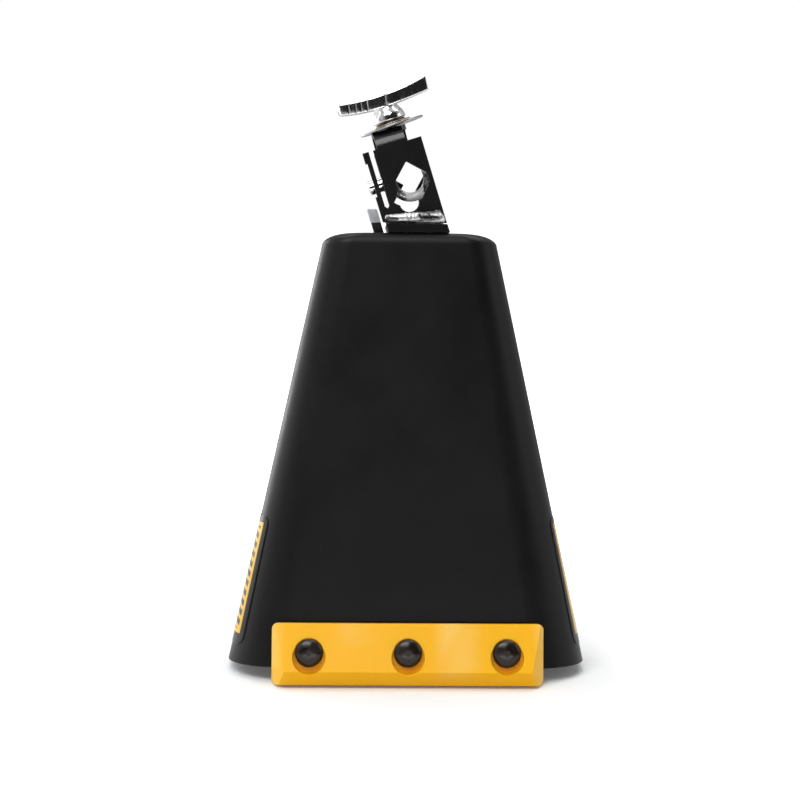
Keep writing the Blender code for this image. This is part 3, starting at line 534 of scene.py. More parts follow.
def make_piece(name, build, matrix):
    """Object at the origin. build(bm) makes its mesh in a frame of the part, and matrix puts it in place."""
    bm = bmesh.new()
    build(bm)
    bmesh.ops.remove_doubles(bm, verts=bm.verts, dist=WELD_DISTANCE)
    bmesh.ops.recalc_face_normals(bm, faces=bm.faces)
    bm.transform(matrix)
    mesh = bpy.data.meshes.new(name)
    bm.to_mesh(mesh)
    bm.free()
    piece = bpy.data.objects.new(name, mesh)
    bpy.context.scene.collection.objects.link(piece)
    return piece


def declare(piece, body, material, nodes, angle=SMOOTH_ANGLE):
    """Shades and paints a finished piece, hides the CAD nodes it stands for and hangs it on its body's empty.
    """
    piece.data.materials.clear()
    piece.data.materials.append(material)
    piece.data.shade_smooth()
    piece.data.set_sharp_from_angle(angle=angle)
    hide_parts(*nodes)
    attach(piece, body)
    return piece


def add_round(piece, width, segments=3, angle=SMOOTH_ANGLE):
    bevel = piece.modifiers.new("edge_round", "BEVEL")
    bevel.width = width
    bevel.segments = segments
    bevel.limit_method = "ANGLE"
    bevel.angle_limit = angle


def add_flat_normals(piece):
    """Keeps large flat faces flat where they meet small rounded ones."""
    normals = piece.modifiers.new("normals", "WEIGHTED_NORMAL")
    normals.keep_sharp = True


def loft(bm, rings, closed=True, caps=True, looped=False):
    """Faces between rings of points. Closed rings join end to end; a looped loft joins its last ring to its
    first."""
    made = [[bm.verts.new(point) for point in ring] for ring in rings]
    pairs = list(zip(made, made[1:])) + ([(made[-1], made[0])] if looped else [])
    for low, high in pairs:
        for i in range(len(low) if closed else len(low) - 1):
            j = (i + 1) % len(low)
            bm.faces.new((low[i], low[j], high[j], high[i]))
    if caps:
        bm.faces.new(made[0][::-1])
        bm.faces.new(made[-1])
    return made


def circle(radius, height, segments):
    angles = [2 * pi * i / segments for i in range(segments)]
    return [(radius * cos(a), radius * sin(a), height) for a in angles]


def arc(centre, radius, start, end, steps):
    """Points on a circle from start to end, both included, angles in degrees."""
    angles = [radians(start + (end - start) * i / steps) for i in range(steps + 1)]
    return [(centre[0] + radius * cos(a), centre[1] + radius * sin(a)) for a in angles]


def round_ring_profile(inner, outer, low, high, edge, steps=4):
    """Section of a flat ring with rounded edges, as (radius, height) points."""
    profile = []
    for centre, start in (((outer - edge, low + edge), -90), ((outer - edge, high - edge), 0),
                          ((inner + edge, high - edge), 90), ((inner + edge, low + edge), 180)):
        profile += arc(centre, edge, start, start + 90, steps)
    return profile


def store_radial(piece, matrix):
    """Keeps each vertex's distance from the frame's Z on the mesh, for turning marks in a material."""
    home = matrix.inverted()
    radial = piece.data.attributes.new("radial", "FLOAT", "POINT")
    for vertex, item in zip(piece.data.vertices, radial.data):
        place = home @ vertex.co
        item.value = hypot(place.x, place.y)


def cut_away(piece, tools):
    """Cuts the tools out of a piece, keeps the result as its plain mesh and removes the tools."""
    for tool in tools:
        cut = piece.modifiers.new("cut", "BOOLEAN")
        cut.operation = "DIFFERENCE"
        cut.solver = "EXACT"
        cut.object = tool
    bpy.context.view_layer.update()
    evaluated = piece.evaluated_get(bpy.context.evaluated_depsgraph_get())
    mesh = bpy.data.meshes.new_from_object(evaluated)
    piece.modifiers.clear()
    piece.data = mesh
    for tool in tools:
        bpy.data.objects.remove(tool)


# ---------------------------------------------------------------- bell

def bell_size(height):
    """Half width, half depth and corner radius of the bell's outside at a height."""
    t = height / BELL_HEIGHT
    return tuple(low + (high - low) * t for low, high in (
        (MOUTH_HALF_WIDTH, END_HALF_WIDTH), (MOUTH_HALF_DEPTH, END_HALF_DEPTH), (MOUTH_CORNER, END_CORNER)))


def bell_levels():
    """Height, half width, half depth and corner radius of each ring, from the mouth to the closed end."""
    start = BELL_HEIGHT - END_ROUND_HEIGHT
    levels = [(start * i / WALL_STEPS, *bell_size(start * i / WALL_STEPS)) for i in range(WALL_STEPS + 1)]
    width, depth, corner = bell_size(start)
    for step in range(1, END_ROUND_STEPS + 1):
        turn = pi / 2 * step / END_ROUND_STEPS
        inward = 1 - cos(turn)
        levels.append((start + END_ROUND_HEIGHT * sin(turn), width - END_ROUND_SIDE * inward,
                       depth - END_ROUND_FRONT * inward, corner - END_ROUND_FRONT * inward))
    return levels


def half_section(half_width, half_depth, corner, side):
    """One half of the bell's outline, from the right seam round to the left; side is -1 front, 1 rear."""
    right = [(half_width, SEAM_HALF_GAP)]
    right += arc((half_width - corner, half_depth - corner), corner, 0, 90, CORNER_STEPS)
    left = [(-x, y) for x, y in reversed(right)]
    return [(x, side * y) for x, y in right + left]


def make_shell(name, node, side, material):
    """One pressed half of the bell: sheet with a rounded rim, open at the mouth and along the seam."""
    def build(bm):
        rings = [[(x, y, height) for x, y in half_section(width, depth, corner, side)]
                 for height, width, depth, corner in bell_levels()]
        made = loft(bm, rings, closed=False, caps=False)
        bm.faces.new(made[-1])
    shell = make_piece(name, build, BELL)
    middle = BELL @ Vector((0, 0, BELL_HEIGHT / 2))
    outward = sum((face.center - middle).dot(face.normal) * face.area for face in shell.data.polygons) > 0
    skin = shell.modifiers.new("sheet", "SOLIDIFY")
    skin.thickness = SHEET
    skin.offset = -1 if outward else 1
    skin.use_even_offset = True
    add_round(shell, RIM_ROUND, 3, SHELL_ANGLE)
    add_flat_normals(shell)
    return declare(shell, "bell", material, [node])


# ---------------------------------------------------------------- striking bar and rivets

def bar_planes():
    """Point and outward direction of the planes that cut the bar's face, chamfer and slanted ends."""
    edge = Vector((0, -BAR_DEPTH, BAR_BOTTOM + BAR_CHAMFER_HEIGHT))
    top = Vector((0, -BAR_TOP_DEPTH, BAR_TOP))
    foot = Vector((0, BAR_CHAMFER_DEPTH - BAR_DEPTH, BAR_BOTTOM))
    along = Vector((1, 0, 0))
    planes = [(edge, along.cross(top - edge)), (edge, along.cross(edge - foot))]
    for side in (-1, 1):
        corner = Vector((side * BAR_HALF_LENGTH, -BAR_END_STRAIGHT, 0))
        planes.append((corner, Vector((side, -BAR_END_SLANT, 0))))
    return planes


def bar_block(bm):
    """A slab with rounded corners in front view, cut down by the planes."""
    outline = []
    inset = BAR_HALF_LENGTH - BAR_CORNER
    for x, z, start in ((inset, BAR_BOTTOM + BAR_CORNER, -90), (inset, BAR_TOP - BAR_CORNER, 0),
                        (-inset, BAR_TOP - BAR_CORNER, 90), (-inset, BAR_BOTTOM + BAR_CORNER, 180)):
        outline += arc((x, z), BAR_CORNER, start, start + 90, BAR_CORNER_STEPS)
    loft(bm, [[(x, -GAP, z) for x, z in outline], [(x, -BAR_DEPTH, z) for x, z in outline]])
    for point, direction in bar_planes():
        whole = list(bm.verts) + list(bm.edges) + list(bm.faces)
        cut = bmesh.ops.bisect_plane(bm, geom=whole, plane_co=point, plane_no=direction, clear_outer=True)
        rim = [item for item in cut["geom_cut"] if isinstance(item, bmesh.types.BMEdge)]
        bmesh.ops.contextual_create(bm, geom=rim)


def recess_tool(x):
    """The recess round one rivet, with a lower, wider part below the head."""
    tools = []
    for radius, height in ((RECESS_RADIUS, RIVET_HEIGHT - RECESS_DROP),
                           (RIVET_HEAD_RADIUS + HEAD_CLEARANCE, RIVET_HEIGHT)):
        def build(bm):
            loft(bm, [circle(radius, RECESS_FLOOR, FINE_ROUND), circle(radius, 2 * BAR_DEPTH, FINE_ROUND)])
        tools.append(make_piece("recess_tool", build, turned_frame(FACE, (x, 0, height), (pi / 2, 0, 0))))
    return tools


def rivet_spots():
    return [("left", -RIVET_PITCH), ("middle", 0), ("right", RIVET_PITCH)]


def make_bar(material):
    bar = make_piece("striking_bar", bar_block, FACE)
    add_round(bar, BAR_ROUND, 5, BAR_ANGLE)
    cut_away(bar, [tool for _, x in rivet_spots() for tool in recess_tool(x)])
    add_round(bar, RECESS_ROUND, 3, RECESS_ANGLE)
    add_flat_normals(bar)
    return declare(bar, "bell", material, ["rider_bar"])


def rivet_profile():
    """Radius and height of a rivet: the tail inside the bell first, then the shank, rim and domed head."""
    seat = RECESS_FLOOR + GAP
    tail = -(SHEET + 3 * GAP + BURR_THICKNESS)
    end = tail - RIVET_TAIL_LENGTH
    rim = seat + RIVET_RIM_HEIGHT
    dome = RIVET_HEAD_HEIGHT - RIVET_RIM_HEIGHT
    edge = RIVET_RIM_HEIGHT / 4
    points = [(RIVET_SHANK_RADIUS, end), (RIVET_TAIL_RADIUS - edge, end + edge),
              (RIVET_TAIL_RADIUS, end + RIVET_TAIL_LENGTH / 2), (RIVET_TAIL_RADIUS, tail),
              (RIVET_SHANK_RADIUS, tail), (RIVET_SHANK_RADIUS, seat), (RIVET_HEAD_RADIUS - edge, seat),
              (RIVET_HEAD_RADIUS, seat + edge)]
    for i in range(RIVET_DOME_STEPS):
        turn = pi / 2 * i / RIVET_DOME_STEPS
        radius = RIVET_HEAD_RADIUS * cos(turn)
        dip = RIVET_DIMPLE_DEPTH * exp(-(radius / RIVET_DIMPLE_RADIUS) ** 2)
        points.append((radius, rim + dome * sin(turn) - dip))
    return points


def make_rivet(side, x, material):
    spot = turned_frame(FACE, (x, 0, RIVET_HEIGHT), (pi / 2, 0, 0))

    def build(bm):
        loft(bm, [circle(radius, height, FINE_ROUND) for radius, height in rivet_profile()])
    rivet = make_piece(f"domed_rivet_{side}", build, spot)
    store_radial(rivet, spot)
    return declare(rivet, "bell", material, [f"rivet_{side}"])


# ---------------------------------------------------------------- labels

def label_point(height, side, share, lift):
    """Point on the narrow side at a height: share runs from -1 at the front edge to 1 at the rear edge."""
    width, depth, corner = bell_size(height)
    turn = LABEL_WRAP[side] * pi / 2
    bend = corner * turn
    flat = depth - corner
    along = share * (flat + bend)
    beyond = abs(along) - flat
    if beyond <= 0:
        return (side * (width + lift), along, height)
    angle = beyond / corner
    y = flat + (corner + lift) * sin(angle)
    return (side * (width - corner + (corner + lift) * cos(angle)), y if along > 0 else -y, height)


def make_label(name, node, side, material):
    """Thin film with rounded corners; its layout map runs -1 to 1 across and up it."""
    half = (LABEL_TOP - LABEL_BOTTOM) / 2
    middle = (LABEL_TOP + LABEL_BOTTOM) / 2
    _, depth, corner = bell_size(middle)
    reach = depth - corner + corner * LABEL_WRAP[side] * pi / 2

    def half_share(v):
        """Half width of the film at a share of its half height, as a share of its full half width."""
        over = abs(v) * half - (half - LABEL_CORNER)
        if over <= 0:
            return 1
        return 1 - (LABEL_CORNER - max(LABEL_CORNER ** 2 - over ** 2, 0) ** 0.5) / reach

    shares = [sin(pi / 2 * (2 * i / LABEL_ROWS - 1)) for i in range(LABEL_ROWS + 1)]
    sheet = []
    for v in shares:
        for i in range(LABEL_COLUMNS + 1):
            u = half_share(v) * (2 * i / LABEL_COLUMNS - 1)
            sheet.append((u, v))
    points = [BELL @ Vector(label_point(middle + half * v, side, u, LABEL_LIFT)) for u, v in sheet]
    columns = LABEL_COLUMNS + 1
    faces = []
    for row in range(LABEL_ROWS):
        for i in range(LABEL_COLUMNS):
            a = row * columns + i
            face = (a, a + 1, a + 1 + columns, a + columns)
            faces.append(face if side > 0 else face[::-1])
    mesh = bpy.data.meshes.new(name)
    mesh.from_pydata(points, [], faces)
    layout = mesh.uv_layers.new(name="label")
    for loop in mesh.loops:
        layout.data[loop.index].uv = sheet[loop.vertex_index]
    label = bpy.data.objects.new(name, mesh)
    bpy.context.scene.collection.objects.link(label)
    skin = label.modifiers.new("film", "SOLIDIFY")
    skin.thickness = LABEL_THICKNESS
    skin.offset = 1
    return declare(label, "bell", material, [node])


# ---------------------------------------------------------------- bracket, base, lug and weld beads

def refined(name, node, material, width):
    """The CAD node's own shape with its flat faces merged and its edges rounded."""
    bm = bmesh.new()
    bm.from_mesh(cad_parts[node].data)
    bmesh.ops.remove_doubles(bm, verts=bm.verts, dist=WELD_DISTANCE)
    bmesh.ops.dissolve_limit(bm, angle_limit=FLAT_ANGLE, verts=bm.verts, edges=bm.edges)
    bmesh.ops.recalc_face_normals(bm, faces=bm.faces)
    mesh = bpy.data.meshes.new(name)
    bm.to_mesh(mesh)
    bm.free()
    piece = bpy.data.objects.new(name, mesh)
    bpy.context.scene.collection.objects.link(piece)
    add_round(piece, width, 3, BRACKET_ANGLE)
    add_flat_normals(piece)
    return declare(piece, "bell", material, [node])


def foot_height(x, clear):
    """Height on the bracket frame's Z, at its x, of the level plane that is clear above the closed end."""
    return (clear - x * sin(BRACKET_LEAN)) / cos(BRACKET_LEAN)


def make_bead(name, node, y, material):
    """Weld bead: overlapping ripples with a wandering crest, painted over."""
    height = BASE_THICKNESS + GAP + BEAD_RADIUS * (1 + BEAD_WAVE)
    span = BASE_RIGHT - BASE_LEFT - 2 * BEAD_END
    seed = Vector((0, y / MM, 0))

    def build(bm):
        rings = []
        for i in range(BEAD_RINGS + 1):
            t = i / BEAD_RINGS
            x = BASE_LEFT + BEAD_END + span * t
            ripple = abs(sin(pi * BEAD_RIPPLES * t))
            ends = min(1, (min(t, 1 - t) / BEAD_TAPER + BEAD_TIP)) ** 0.5
            wander = noise.noise(Vector((7 * t, 0, 0)) + seed)
            radius = BEAD_RADIUS * ends * (BEAD_BODY + BEAD_RIPPLE * ripple + BEAD_WANDER * wander)
            ring = []
            for k in range(BEAD_SIDES):
                turn = 2 * pi * k / BEAD_SIDES
                spot = Vector((22 * t, 1.4 * cos(turn), 1.4 * sin(turn))) + seed
                lump = 1 + BEAD_LUMP * noise.noise(spot)
                rise = radius * lump * sin(turn) * (1 + BEAD_CLIMB * t if sin(turn) > 0 else 1)
                ring.append((x, y + radius * lump * cos(turn), foot_height(x, height) + rise))
            rings.append(ring)
        loft(bm, rings)
    bead = make_piece(name, build, BRACKET)
    return declare(bead, "bell", material, [node])


# ---------------------------------------------------------------- eye bolt, arm and washers

def eye_path():
    """Middle line of the eye's bar with its outward direction, as (x, z, out_x, out_z)."""
    path = []
    for centre, start in ((0, pi), (EYE_STRAIGHT, 0)):
        for i in range(EYE_STEPS + 1):
            turn = start + pi * i / EYE_STEPS
            path.append((EYE_RADIUS * cos(turn), centre + EYE_RADIUS * sin(turn), cos(turn), sin(turn)))
    return path


def build_eye(bm):
    rings = []
    for x, z, out_x, out_z in eye_path():
        ring = []
        for k in range(EYE_SIDES):
            turn = 2 * pi * k / EYE_SIDES
            out = EYE_BAR_RADIUS * cos(turn)
            ring.append((x + out * out_x, EYE_BAR_RADIUS * sin(turn), z + out * out_z))
        rings.append(ring)
    loft(bm, rings, caps=False, looped=True)


def build_shank(bm):
    """Threaded shank: a ridge that climbs one pitch a turn, with a chamfered end."""
    root = EYE_STRAIGHT + EYE_RADIUS
    rows = round((SHANK_TOP - root) / THREAD_PITCH * THREAD_ROWS)
    rings = []
    for row in range(rows + 1):
        z = root + (SHANK_TOP - root) * row / rows
        ring = []
        fade = min(1, (SHANK_TOP - z) / THREAD_PITCH, (z - root) / (2 * THREAD_PITCH))
        for k in range(FINE_ROUND // 2):
            turn = 2 * pi * k / (FINE_ROUND // 2)
            phase = (z / THREAD_PITCH - turn / (2 * pi)) % 1
            cut = THREAD_DEPTH * abs(2 * phase - 1) * max(0, fade)
            end = THREAD_DEPTH * max(0, 1 - (SHANK_TOP - z) / THREAD_PITCH)
            radius = SHANK_RADIUS - cut - end
            ring.append((radius * cos(turn), radius * sin(turn), z))
        rings.append(ring)
    loft(bm, rings)


def make_eye_bolt(material):
    def build(bm):
        build_eye(bm)
        build_shank(bm)
    bolt = make_piece("threaded_eye", build, BOLT)
    return declare(bolt, "eye", material, ["eye_bolt"])


def make_arm(material):
    near = EYE_RADIUS + EYE_BAR_RADIUS / 2
    far = -ARM_END
    neck = ARM_RADIUS - ARM_NECK

    def build(bm):
        profile = [(neck, near), (neck, near + ARM_NECK_END), (ARM_RADIUS, near + ARM_COLLAR)]
        for out, up in arc((0, 0), ARM_ROUND, 0, 90, 8):
            profile.append((ARM_RADIUS - ARM_ROUND + out, far - ARM_ROUND + up))
        profile.append((ARM_RADIUS / 3, far - ARM_DIMPLE))
        loft(bm, [circle(radius, height, FINE_ROUND) for radius, height in profile])
    arm = make_piece("eye_arm", build, turned_frame(BOLT, (0, 0, ARM_HEIGHT), (0, -pi / 2, 0)))
    return declare(arm, "eye", material, ["alignment_arm"])


def make_washer(name, node, size, low, material, turn=2 * pi):
    """Ring with rounded edges; a turn short of a full one leaves the lock washer's split."""
    outer, inner, thickness = size
    profile = round_ring_profile(inner, outer, low, low + thickness, WASHER_EDGE * thickness)

    def build(bm):
        steps = 2 * FINE_ROUND
        if turn >= 2 * pi:
            loft(bm, [circle(radius, height, steps) for radius, height in profile], caps=False, looped=True)
            return
        rings = []
        for i in range(steps + 1):
            angle = turn * i / steps
            rings.append([(radius * cos(angle), radius * sin(angle), height) for radius, height in profile])
        loft(bm, rings)
    washer = make_piece(name, build, BOLT)
    store_radial(washer, BOLT)
    declare(washer, "bell", material, [node])
    return low + thickness + GAP


# ---------------------------------------------------------------- wing nut

def boss_profile():
    """Outside then bore of the nut's turned boss, as (radius, height) points."""
    foot = arc((NUT_BASE_RADIUS - NUT_FOOT_ROUND, NUT_FOOT_ROUND), NUT_FOOT_ROUND, -90, 0, 5)
    wide = NUT_BASE_RADIUS - NUT_FOOT_INSET
    waist = []
    for i in range(NUT_WAIST_STEPS + 1):
        t = i / NUT_WAIST_STEPS
        ease = t * t * (3 - 2 * t)
        waist.append((wide - (wide - NUT_NECK_RADIUS) * ease,
                      NUT_BOSS_HEIGHT * (NUT_WAIST_START + NUT_WAIST_SHARE * t)))
    crown = arc((NUT_CORE_RADIUS - NUT_CROWN_ROUND, NUT_HEIGHT - NUT_CROWN_DROP), NUT_CROWN_ROUND, 0, 90, 6)
    start = [(NUT_BORE_RADIUS + NUT_BORE_CHAMFER, 0)]
    return start + foot + waist + [(NUT_CORE_RADIUS, NUT_BOSS_HEIGHT)] + crown


def build_boss(bm):
    outside = boss_profile()
    bore = [(NUT_BORE_RADIUS, NUT_BORE_CHAMFER), (NUT_BORE_RADIUS, NUT_BORE_DEPTH)]
    profile = bore[::-1] + outside
    loft(bm, [circle(radius, height, FINE_ROUND) for radius, height in profile])


def wing_size(reach):
    """Lowest and highest point and half depth of the wings at a reach from -1 to 1."""
    middle = NUT_HEIGHT - WING_FACE / 2 + WING_RISE * reach ** 2
    half_face = WING_FACE / 2 * (1 - WING_TAPER * abs(reach))
    low = middle - half_face - WING_DROP * max(0, reach) ** 2
    return low, middle + half_face, WING_HALF_DEPTH * (1 - WING_THINNING * reach ** 2)


def wing_section(reach):
    """Section of the wings at a reach: (depth, height) points with crisp upper and softer lower edges."""
    low, high, half_depth = wing_size(reach)
    points = []
    for side, up, edge, start in ((1, low, WING_LOWER_ROUND, -90), (1, high, WING_ROUND, 0),
                                  (-1, high, WING_ROUND, 90), (-1, low, WING_LOWER_ROUND, 180)):
        inward = edge if up == low else -edge
        points += arc((side * (half_depth - edge), up + inward), edge, start, start + 90, 5)
    return points


def wing_reaches():
    """Evenly spaced reaches, with extra ones where the wings' ends are rounded."""
    end = WING_END_ROUND / WING_HALF_SPAN
    tips = [1 - end * (1 - cos(pi / 2 * i / WING_END_STEPS)) for i in range(WING_END_STEPS + 1)]
    inner = [(1 - end) * (2 * i / WING_STEPS - 1) for i in range(1, WING_STEPS)]
    return [-tip for tip in tips] + inner + tips[::-1]


def build_wings(bm):
    """Both wings as one band: rounded edges and ends, a slight twist, grip grooves on the left wing and a
    hollow just right of the middle."""
    lower_edge = NUT_HEIGHT - WING_FACE
    rings = []
    for reach in wing_reaches():
        low, high, half_depth = wing_size(reach)
        middle = (low + high) / 2
        end = min(1, (1 - abs(reach)) * WING_HALF_SPAN / WING_END_ROUND)
        inset = WING_END_ROUND * (1 - (1 - (1 - end) ** 2) ** 0.5)
        x = WING_HALF_SPAN * reach
        ring = []
        for depth, z in wing_section(reach):
            if depth < 0:
                depth += sum(GRIP_DEPTH * exp(-((x - place) / GRIP_WIDTH) ** 2) for place in GRIP_PLACES)
                turn = min(1, max(0, (x - FLUTE_START) / FLUTE_WIDTH))
                depth += FLUTE_DEPTH * (1 - turn) ** 2 * (turn > 0)
            depth *= 1 - inset / half_depth
            z = middle + (z - middle) * (1 - 2 * inset / (high - low))
            shift = -WING_TWIST * depth / WING_HALF_DEPTH * (z - lower_edge) / WING_FACE
            ring.append((x + shift, depth, z))
        rings.append(ring)
    loft(bm, rings)


def build_bore(bm):
    loft(bm, [circle(NUT_BORE_RADIUS, height, FINE_ROUND) for height in (0, NUT_BORE_DEPTH)])


def make_wing_nut(material):
    """Boss and wings in one piece, the wings cut clear of the bore that the bolt's end rises into."""
    nut = make_piece("chromed_wing_nut", build_wings, NUT)
    cut_away(nut, [make_piece("bore_tool", build_bore, NUT)])
    boss = make_piece("nut_boss", build_boss, NUT)
    bm = bmesh.new()
    bm.from_mesh(nut.data)
    bm.from_mesh(boss.data)
    bm.to_mesh(nut.data)
    bm.free()
    bpy.data.objects.remove(boss)
    return declare(nut, "nut", material, ["wing_nut"], NUT_ANGLE)


# ---------------------------------------------------------------- stage, light and camera

CAMERA_TARGET = Vector((-0.0040, 0.0056, 0.1279))
CAMERA_DISTANCE = 0.9
CAMERA_AZIMUTH = radians(-1.39)
CAMERA_ELEVATION = radians(7.38)
CAMERA_ROLL = radians(0.65)
CAMERA_LENS = 85.17
SENSOR = 36
DARK_SIDE = (0.34, -0.94, 0.0)
ROOM_LEVELS = ((0.001, 0.30), (0.35, 0.45), (0.60, 0.60), (0.82, 0.03), (0.999, 0.015))
LIGHT_TARGET = (0, 0, 0.13)
SOFTBOXES = (("key", (-0.35, -0.75, 1.15), LIGHT_TARGET, (1.0, 0.7), 11.0),
             ("left_wall", (-1.1, 0.35, 0.45), LIGHT_TARGET, (0.9, 1.1), 3.5),
             ("low_fill", (0, -0.95, 0.03), (0, 0, 0.03), (0.7, 0.05), 0.8),
             ("left_rim", (-0.75, 0.95, 0.30), LIGHT_TARGET, (0.30, 0.9), 5.0),
             ("right_wall", (1.15, -0.25, 0.55), LIGHT_TARGET, (0.6, 0.8), 1.5),
             ("top", (0.1, 0.35, 1.2), LIGHT_TARGET, (1.2, 0.8), 7.0))
FLOOR_HALF = 6.0
FLOOR_DROP = 0.05 * MM
FLOOR_WHITE = (0.84, 0.85, 0.86, 1)
FLOOR_GLOW_REACH = (0.10, 0.32)
FLOOR_GLOW = (0.09, 1.0)


def make_camera():
    data = bpy.data.cameras.new("camera")
    data.sensor_width = SENSOR
    data.lens = CAMERA_LENS
    data.clip_start = 0.01
    camera = bpy.data.objects.new("camera", data)
    bpy.context.scene.collection.objects.link(camera)
    az, el = CAMERA_AZIMUTH, CAMERA_ELEVATION
    back = Vector((sin(az) * cos(el), -cos(az) * cos(el), sin(el)))
    level = Vector((cos(az), sin(az), 0))
    upright = level.cross(-back)
    right = cos(CAMERA_ROLL) * level + sin(CAMERA_ROLL) * upright
    up = cos(CAMERA_ROLL) * upright - sin(CAMERA_ROLL) * level
    matrix = Matrix((right, up, back)).transposed().to_4x4()
    matrix.translation = CAMERA_TARGET + CAMERA_DISTANCE * back
    camera.matrix_world = matrix
    bpy.context.scene.camera = camera


def make_softbox(name, place, target, size, power):
    data = bpy.data.lights.new(name, "AREA")
    data.shape = "RECTANGLE"
    data.size, data.size_y = size
    data.energy = power
    light = bpy.data.objects.new(name, data)
    light.location = place
    direction = Vector(target) - Vector(place)
    light.rotation_euler = direction.to_track_quat("-Z", "Y").to_euler()
    light.visible_camera = False
    bpy.context.scene.collection.objects.link(light)


def make_lights():
    for light in SOFTBOXES:
        make_softbox(*light)


def make_world():
    """White behind the object for the camera. Everything else sees a pale room that is dark in front."""
    world = bpy.data.worlds.new("studio")
    bpy.context.scene.world = world
    world.use_nodes = True
    tree = world.node_tree
    tree.nodes.clear()
    seen = tree.nodes.new("ShaderNodeBackground")
    room = tree.nodes.new("ShaderNodeBackground")
    place = tree.nodes.new("ShaderNodeTexCoord")
    facing = tree.nodes.new("ShaderNodeVectorMath")
    facing.operation = "DOT_PRODUCT"
    facing.inputs[1].default_value = DARK_SIDE
    share = tree.nodes.new("ShaderNodeMapRange")
    share.inputs["From Min"].default_value = -1
    ramp = tree.nodes.new("ShaderNodeValToRGB").color_ramp
    path = tree.nodes.new("ShaderNodeLightPath")
    mix = tree.nodes.new("ShaderNodeMixShader")
    out = tree.nodes.new("ShaderNodeOutputWorld")
    for stop, level in ROOM_LEVELS:
        ramp.elements.new(stop).color = (level, level, level, 1)
    ramp.elements.remove(ramp.elements[0])
    ramp.elements.remove(ramp.elements[-1])
    tone = [node for node in tree.nodes if node.type == "VALTORGB"][0]
    links = tree.links
    links.new(place.outputs["Generated"], facing.inputs[0])
    links.new(facing.outputs["Value"], share.inputs["Value"])
    links.new(share.outputs[0], tone.inputs[0])
    links.new(tone.outputs[0], room.inputs["Color"])
    seen.inputs["Color"].default_value = (1, 1, 1, 1)
    links.new(path.outputs["Is Camera Ray"], mix.inputs[0])
    links.new(room.outputs[0], mix.inputs[1])
    links.new(seen.outputs[0], mix.inputs[2])
    links.new(mix.outputs[0], out.inputs[0])


def make_floor():
    """Pale seamless floor: lit white with a little light of its own, so that only contact shadows show."""
    def build(bm):
        corners = ((-1, -1), (1, -1), (1, 1), (-1, 1))
        bm.faces.new([bm.verts.new((x * FLOOR_HALF, y * FLOOR_HALF, 0)) for x, y in corners])
    floor = make_piece("floor", build, Matrix.Translation((0, 0, CAD_BOX[0][2] - FLOOR_DROP)))
    look = Look("floor_paper", 0.9, specular=0.1)
    look.colour(FLOOR_WHITE)
    reach = look.add("ShaderNodeVectorMath", operation="LENGTH")
    look.feed(reach.inputs[0], look.place)
    look.shader.inputs["Emission Color"].default_value = (1, 1, 1, 1)
    glow = look.ranged(reach.outputs["Value"], *FLOOR_GLOW_REACH, *FLOOR_GLOW)
    seen = look.add("ShaderNodeLightPath").outputs["Is Camera Ray"]
    look.feed(look.shader.inputs["Emission Strength"], look.math("MULTIPLY", glow, seen))
    floor.data.materials.append(look.material)


# ---------------------------------------------------------------- assembly

def paint_node(node, material):
    """A CAD node whose shape is kept takes a detailed material in place of its plain one."""
    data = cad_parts[node].data
    data.materials.clear()
    data.materials.append(material)


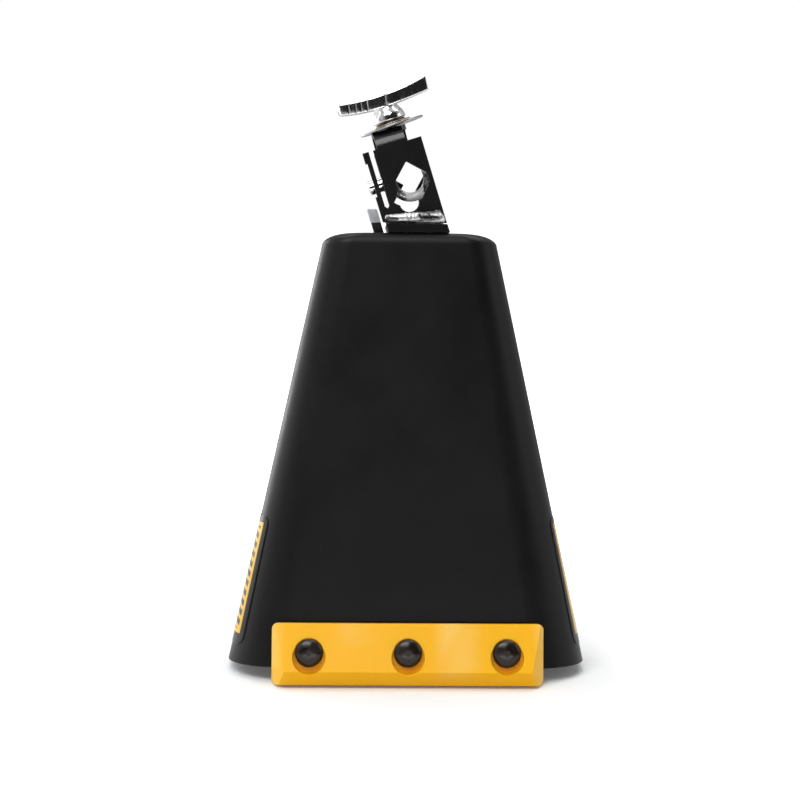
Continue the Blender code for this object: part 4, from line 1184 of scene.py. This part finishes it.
def build_object():
    up = BELL.to_3x3() @ Vector((0, 0, 1))
    rim = (BELL.translation.copy(), up, RIM_WEAR)
    bell_paint = coated_metal("bell_powder_coat", BELL_BLACK, BELL_WORN, 0.40, 0.05 * MM, 0.80, rim)
    make_shell("bell_front", "bell_front_shell", -1, bell_paint)
    make_shell("bell_rear", "bell_rear_shell", 1, bell_paint)
    seam_paint = coated_metal("seam_powder_coat", BELL_BLACK, BELL_WORN, 0.42, 0.16 * MM, 0.80)
    for node in ("side_weld_left", "side_weld_right", "end_weld"):
        paint_node(node, seam_paint)

    make_bar(bar_plastic())
    steel = rivet_steel()
    burr = plated("burr_zinc", (0.60, 0.60, 0.61), (0.42, 0.42, 0.44), 0.30, (1, 1, 1), coarse=0.02)
    for side, x in rivet_spots():
        make_rivet(side, x, steel)
        paint_node(f"rivet_burr_{side}", burr)

    make_label("label_left", "sticker_left", -1, label_print("label_left_print", 0.82, 0.72))
    make_label("label_right", "sticker_right", 1, label_print("label_right_print", 0.80, 0.58))

    bracket_paint = coated_metal("bracket_coat", BRACKET_BLACK, BRACKET_WORN, 0.18, 0.04 * MM, 0.77,
                                 specular=0.5)
    refined("rod_bracket", "mount_bracket", bracket_paint, BRACKET_ROUND)
    gloss = coated_metal("base_coat", PLATE_BLACK, BRACKET_WORN, 0.24, 0.09 * MM, 0.76)
    refined("bracket_base", "base_plate", gloss, BASE_ROUND)
    refined("bracket_lug", "stop_lug", lug_metal(up), LUG_ROUND)
    bead_paint = weld_paint()
    offset = BEAD_RADIUS * (1 + BEAD_WAVE) + GAP
    make_bead("weld_front", "bracket_weld_front", -(BRACKET_HALF_DEPTH + offset), bead_paint)
    make_bead("weld_rear", "bracket_weld_rear", BRACKET_HALF_DEPTH - BRACKET_SHEET - offset, bead_paint)

    side = BOLT.to_3x3() @ Vector((1, 0, 0))
    make_eye_bolt(eye_metal("eye_forging", BOLT.translation.copy(), side, EYE_HIGHLIGHT_REACH))
    make_arm(plated("arm_plating", (0.88, 0.88, 0.88), (0.74, 0.74, 0.75), 0.12, (0.2, 1, 1)))
    chrome = plated("chrome_plate", (0.86, 0.86, 0.87), (0.78, 0.78, 0.79), 0.09, (1, 1, 0.1))
    brass = plated("washer_brass", (0.50, 0.42, 0.32), (0.32, 0.26, 0.19), 0.26, (1, 1, 1), 500, 0.01)
    dark = plated("washer_dark", (0.10, 0.10, 0.105), (0.05, 0.05, 0.052), 0.30, (1, 1, 1), 500, 0.01)
    thin = plated("washer_chrome", (0.50, 0.50, 0.52), (0.40, 0.40, 0.42), 0.16, (0.2, 1, 1))
    level = make_washer("washer_large", "large_washer", LARGE_WASHER, WASHER_SEAT, thin)
    level = make_washer("washer_flat", "flat_washer", FLAT_WASHER, level, brass)
    make_washer("washer_lock", "lock_washer", LOCK_WASHER, level, dark, LOCK_WASHER_TURN)
    make_wing_nut(chrome)


bpy.context.scene.view_settings.view_transform = "Standard"
make_world()
make_floor()
make_lights()
make_camera()
build_object()
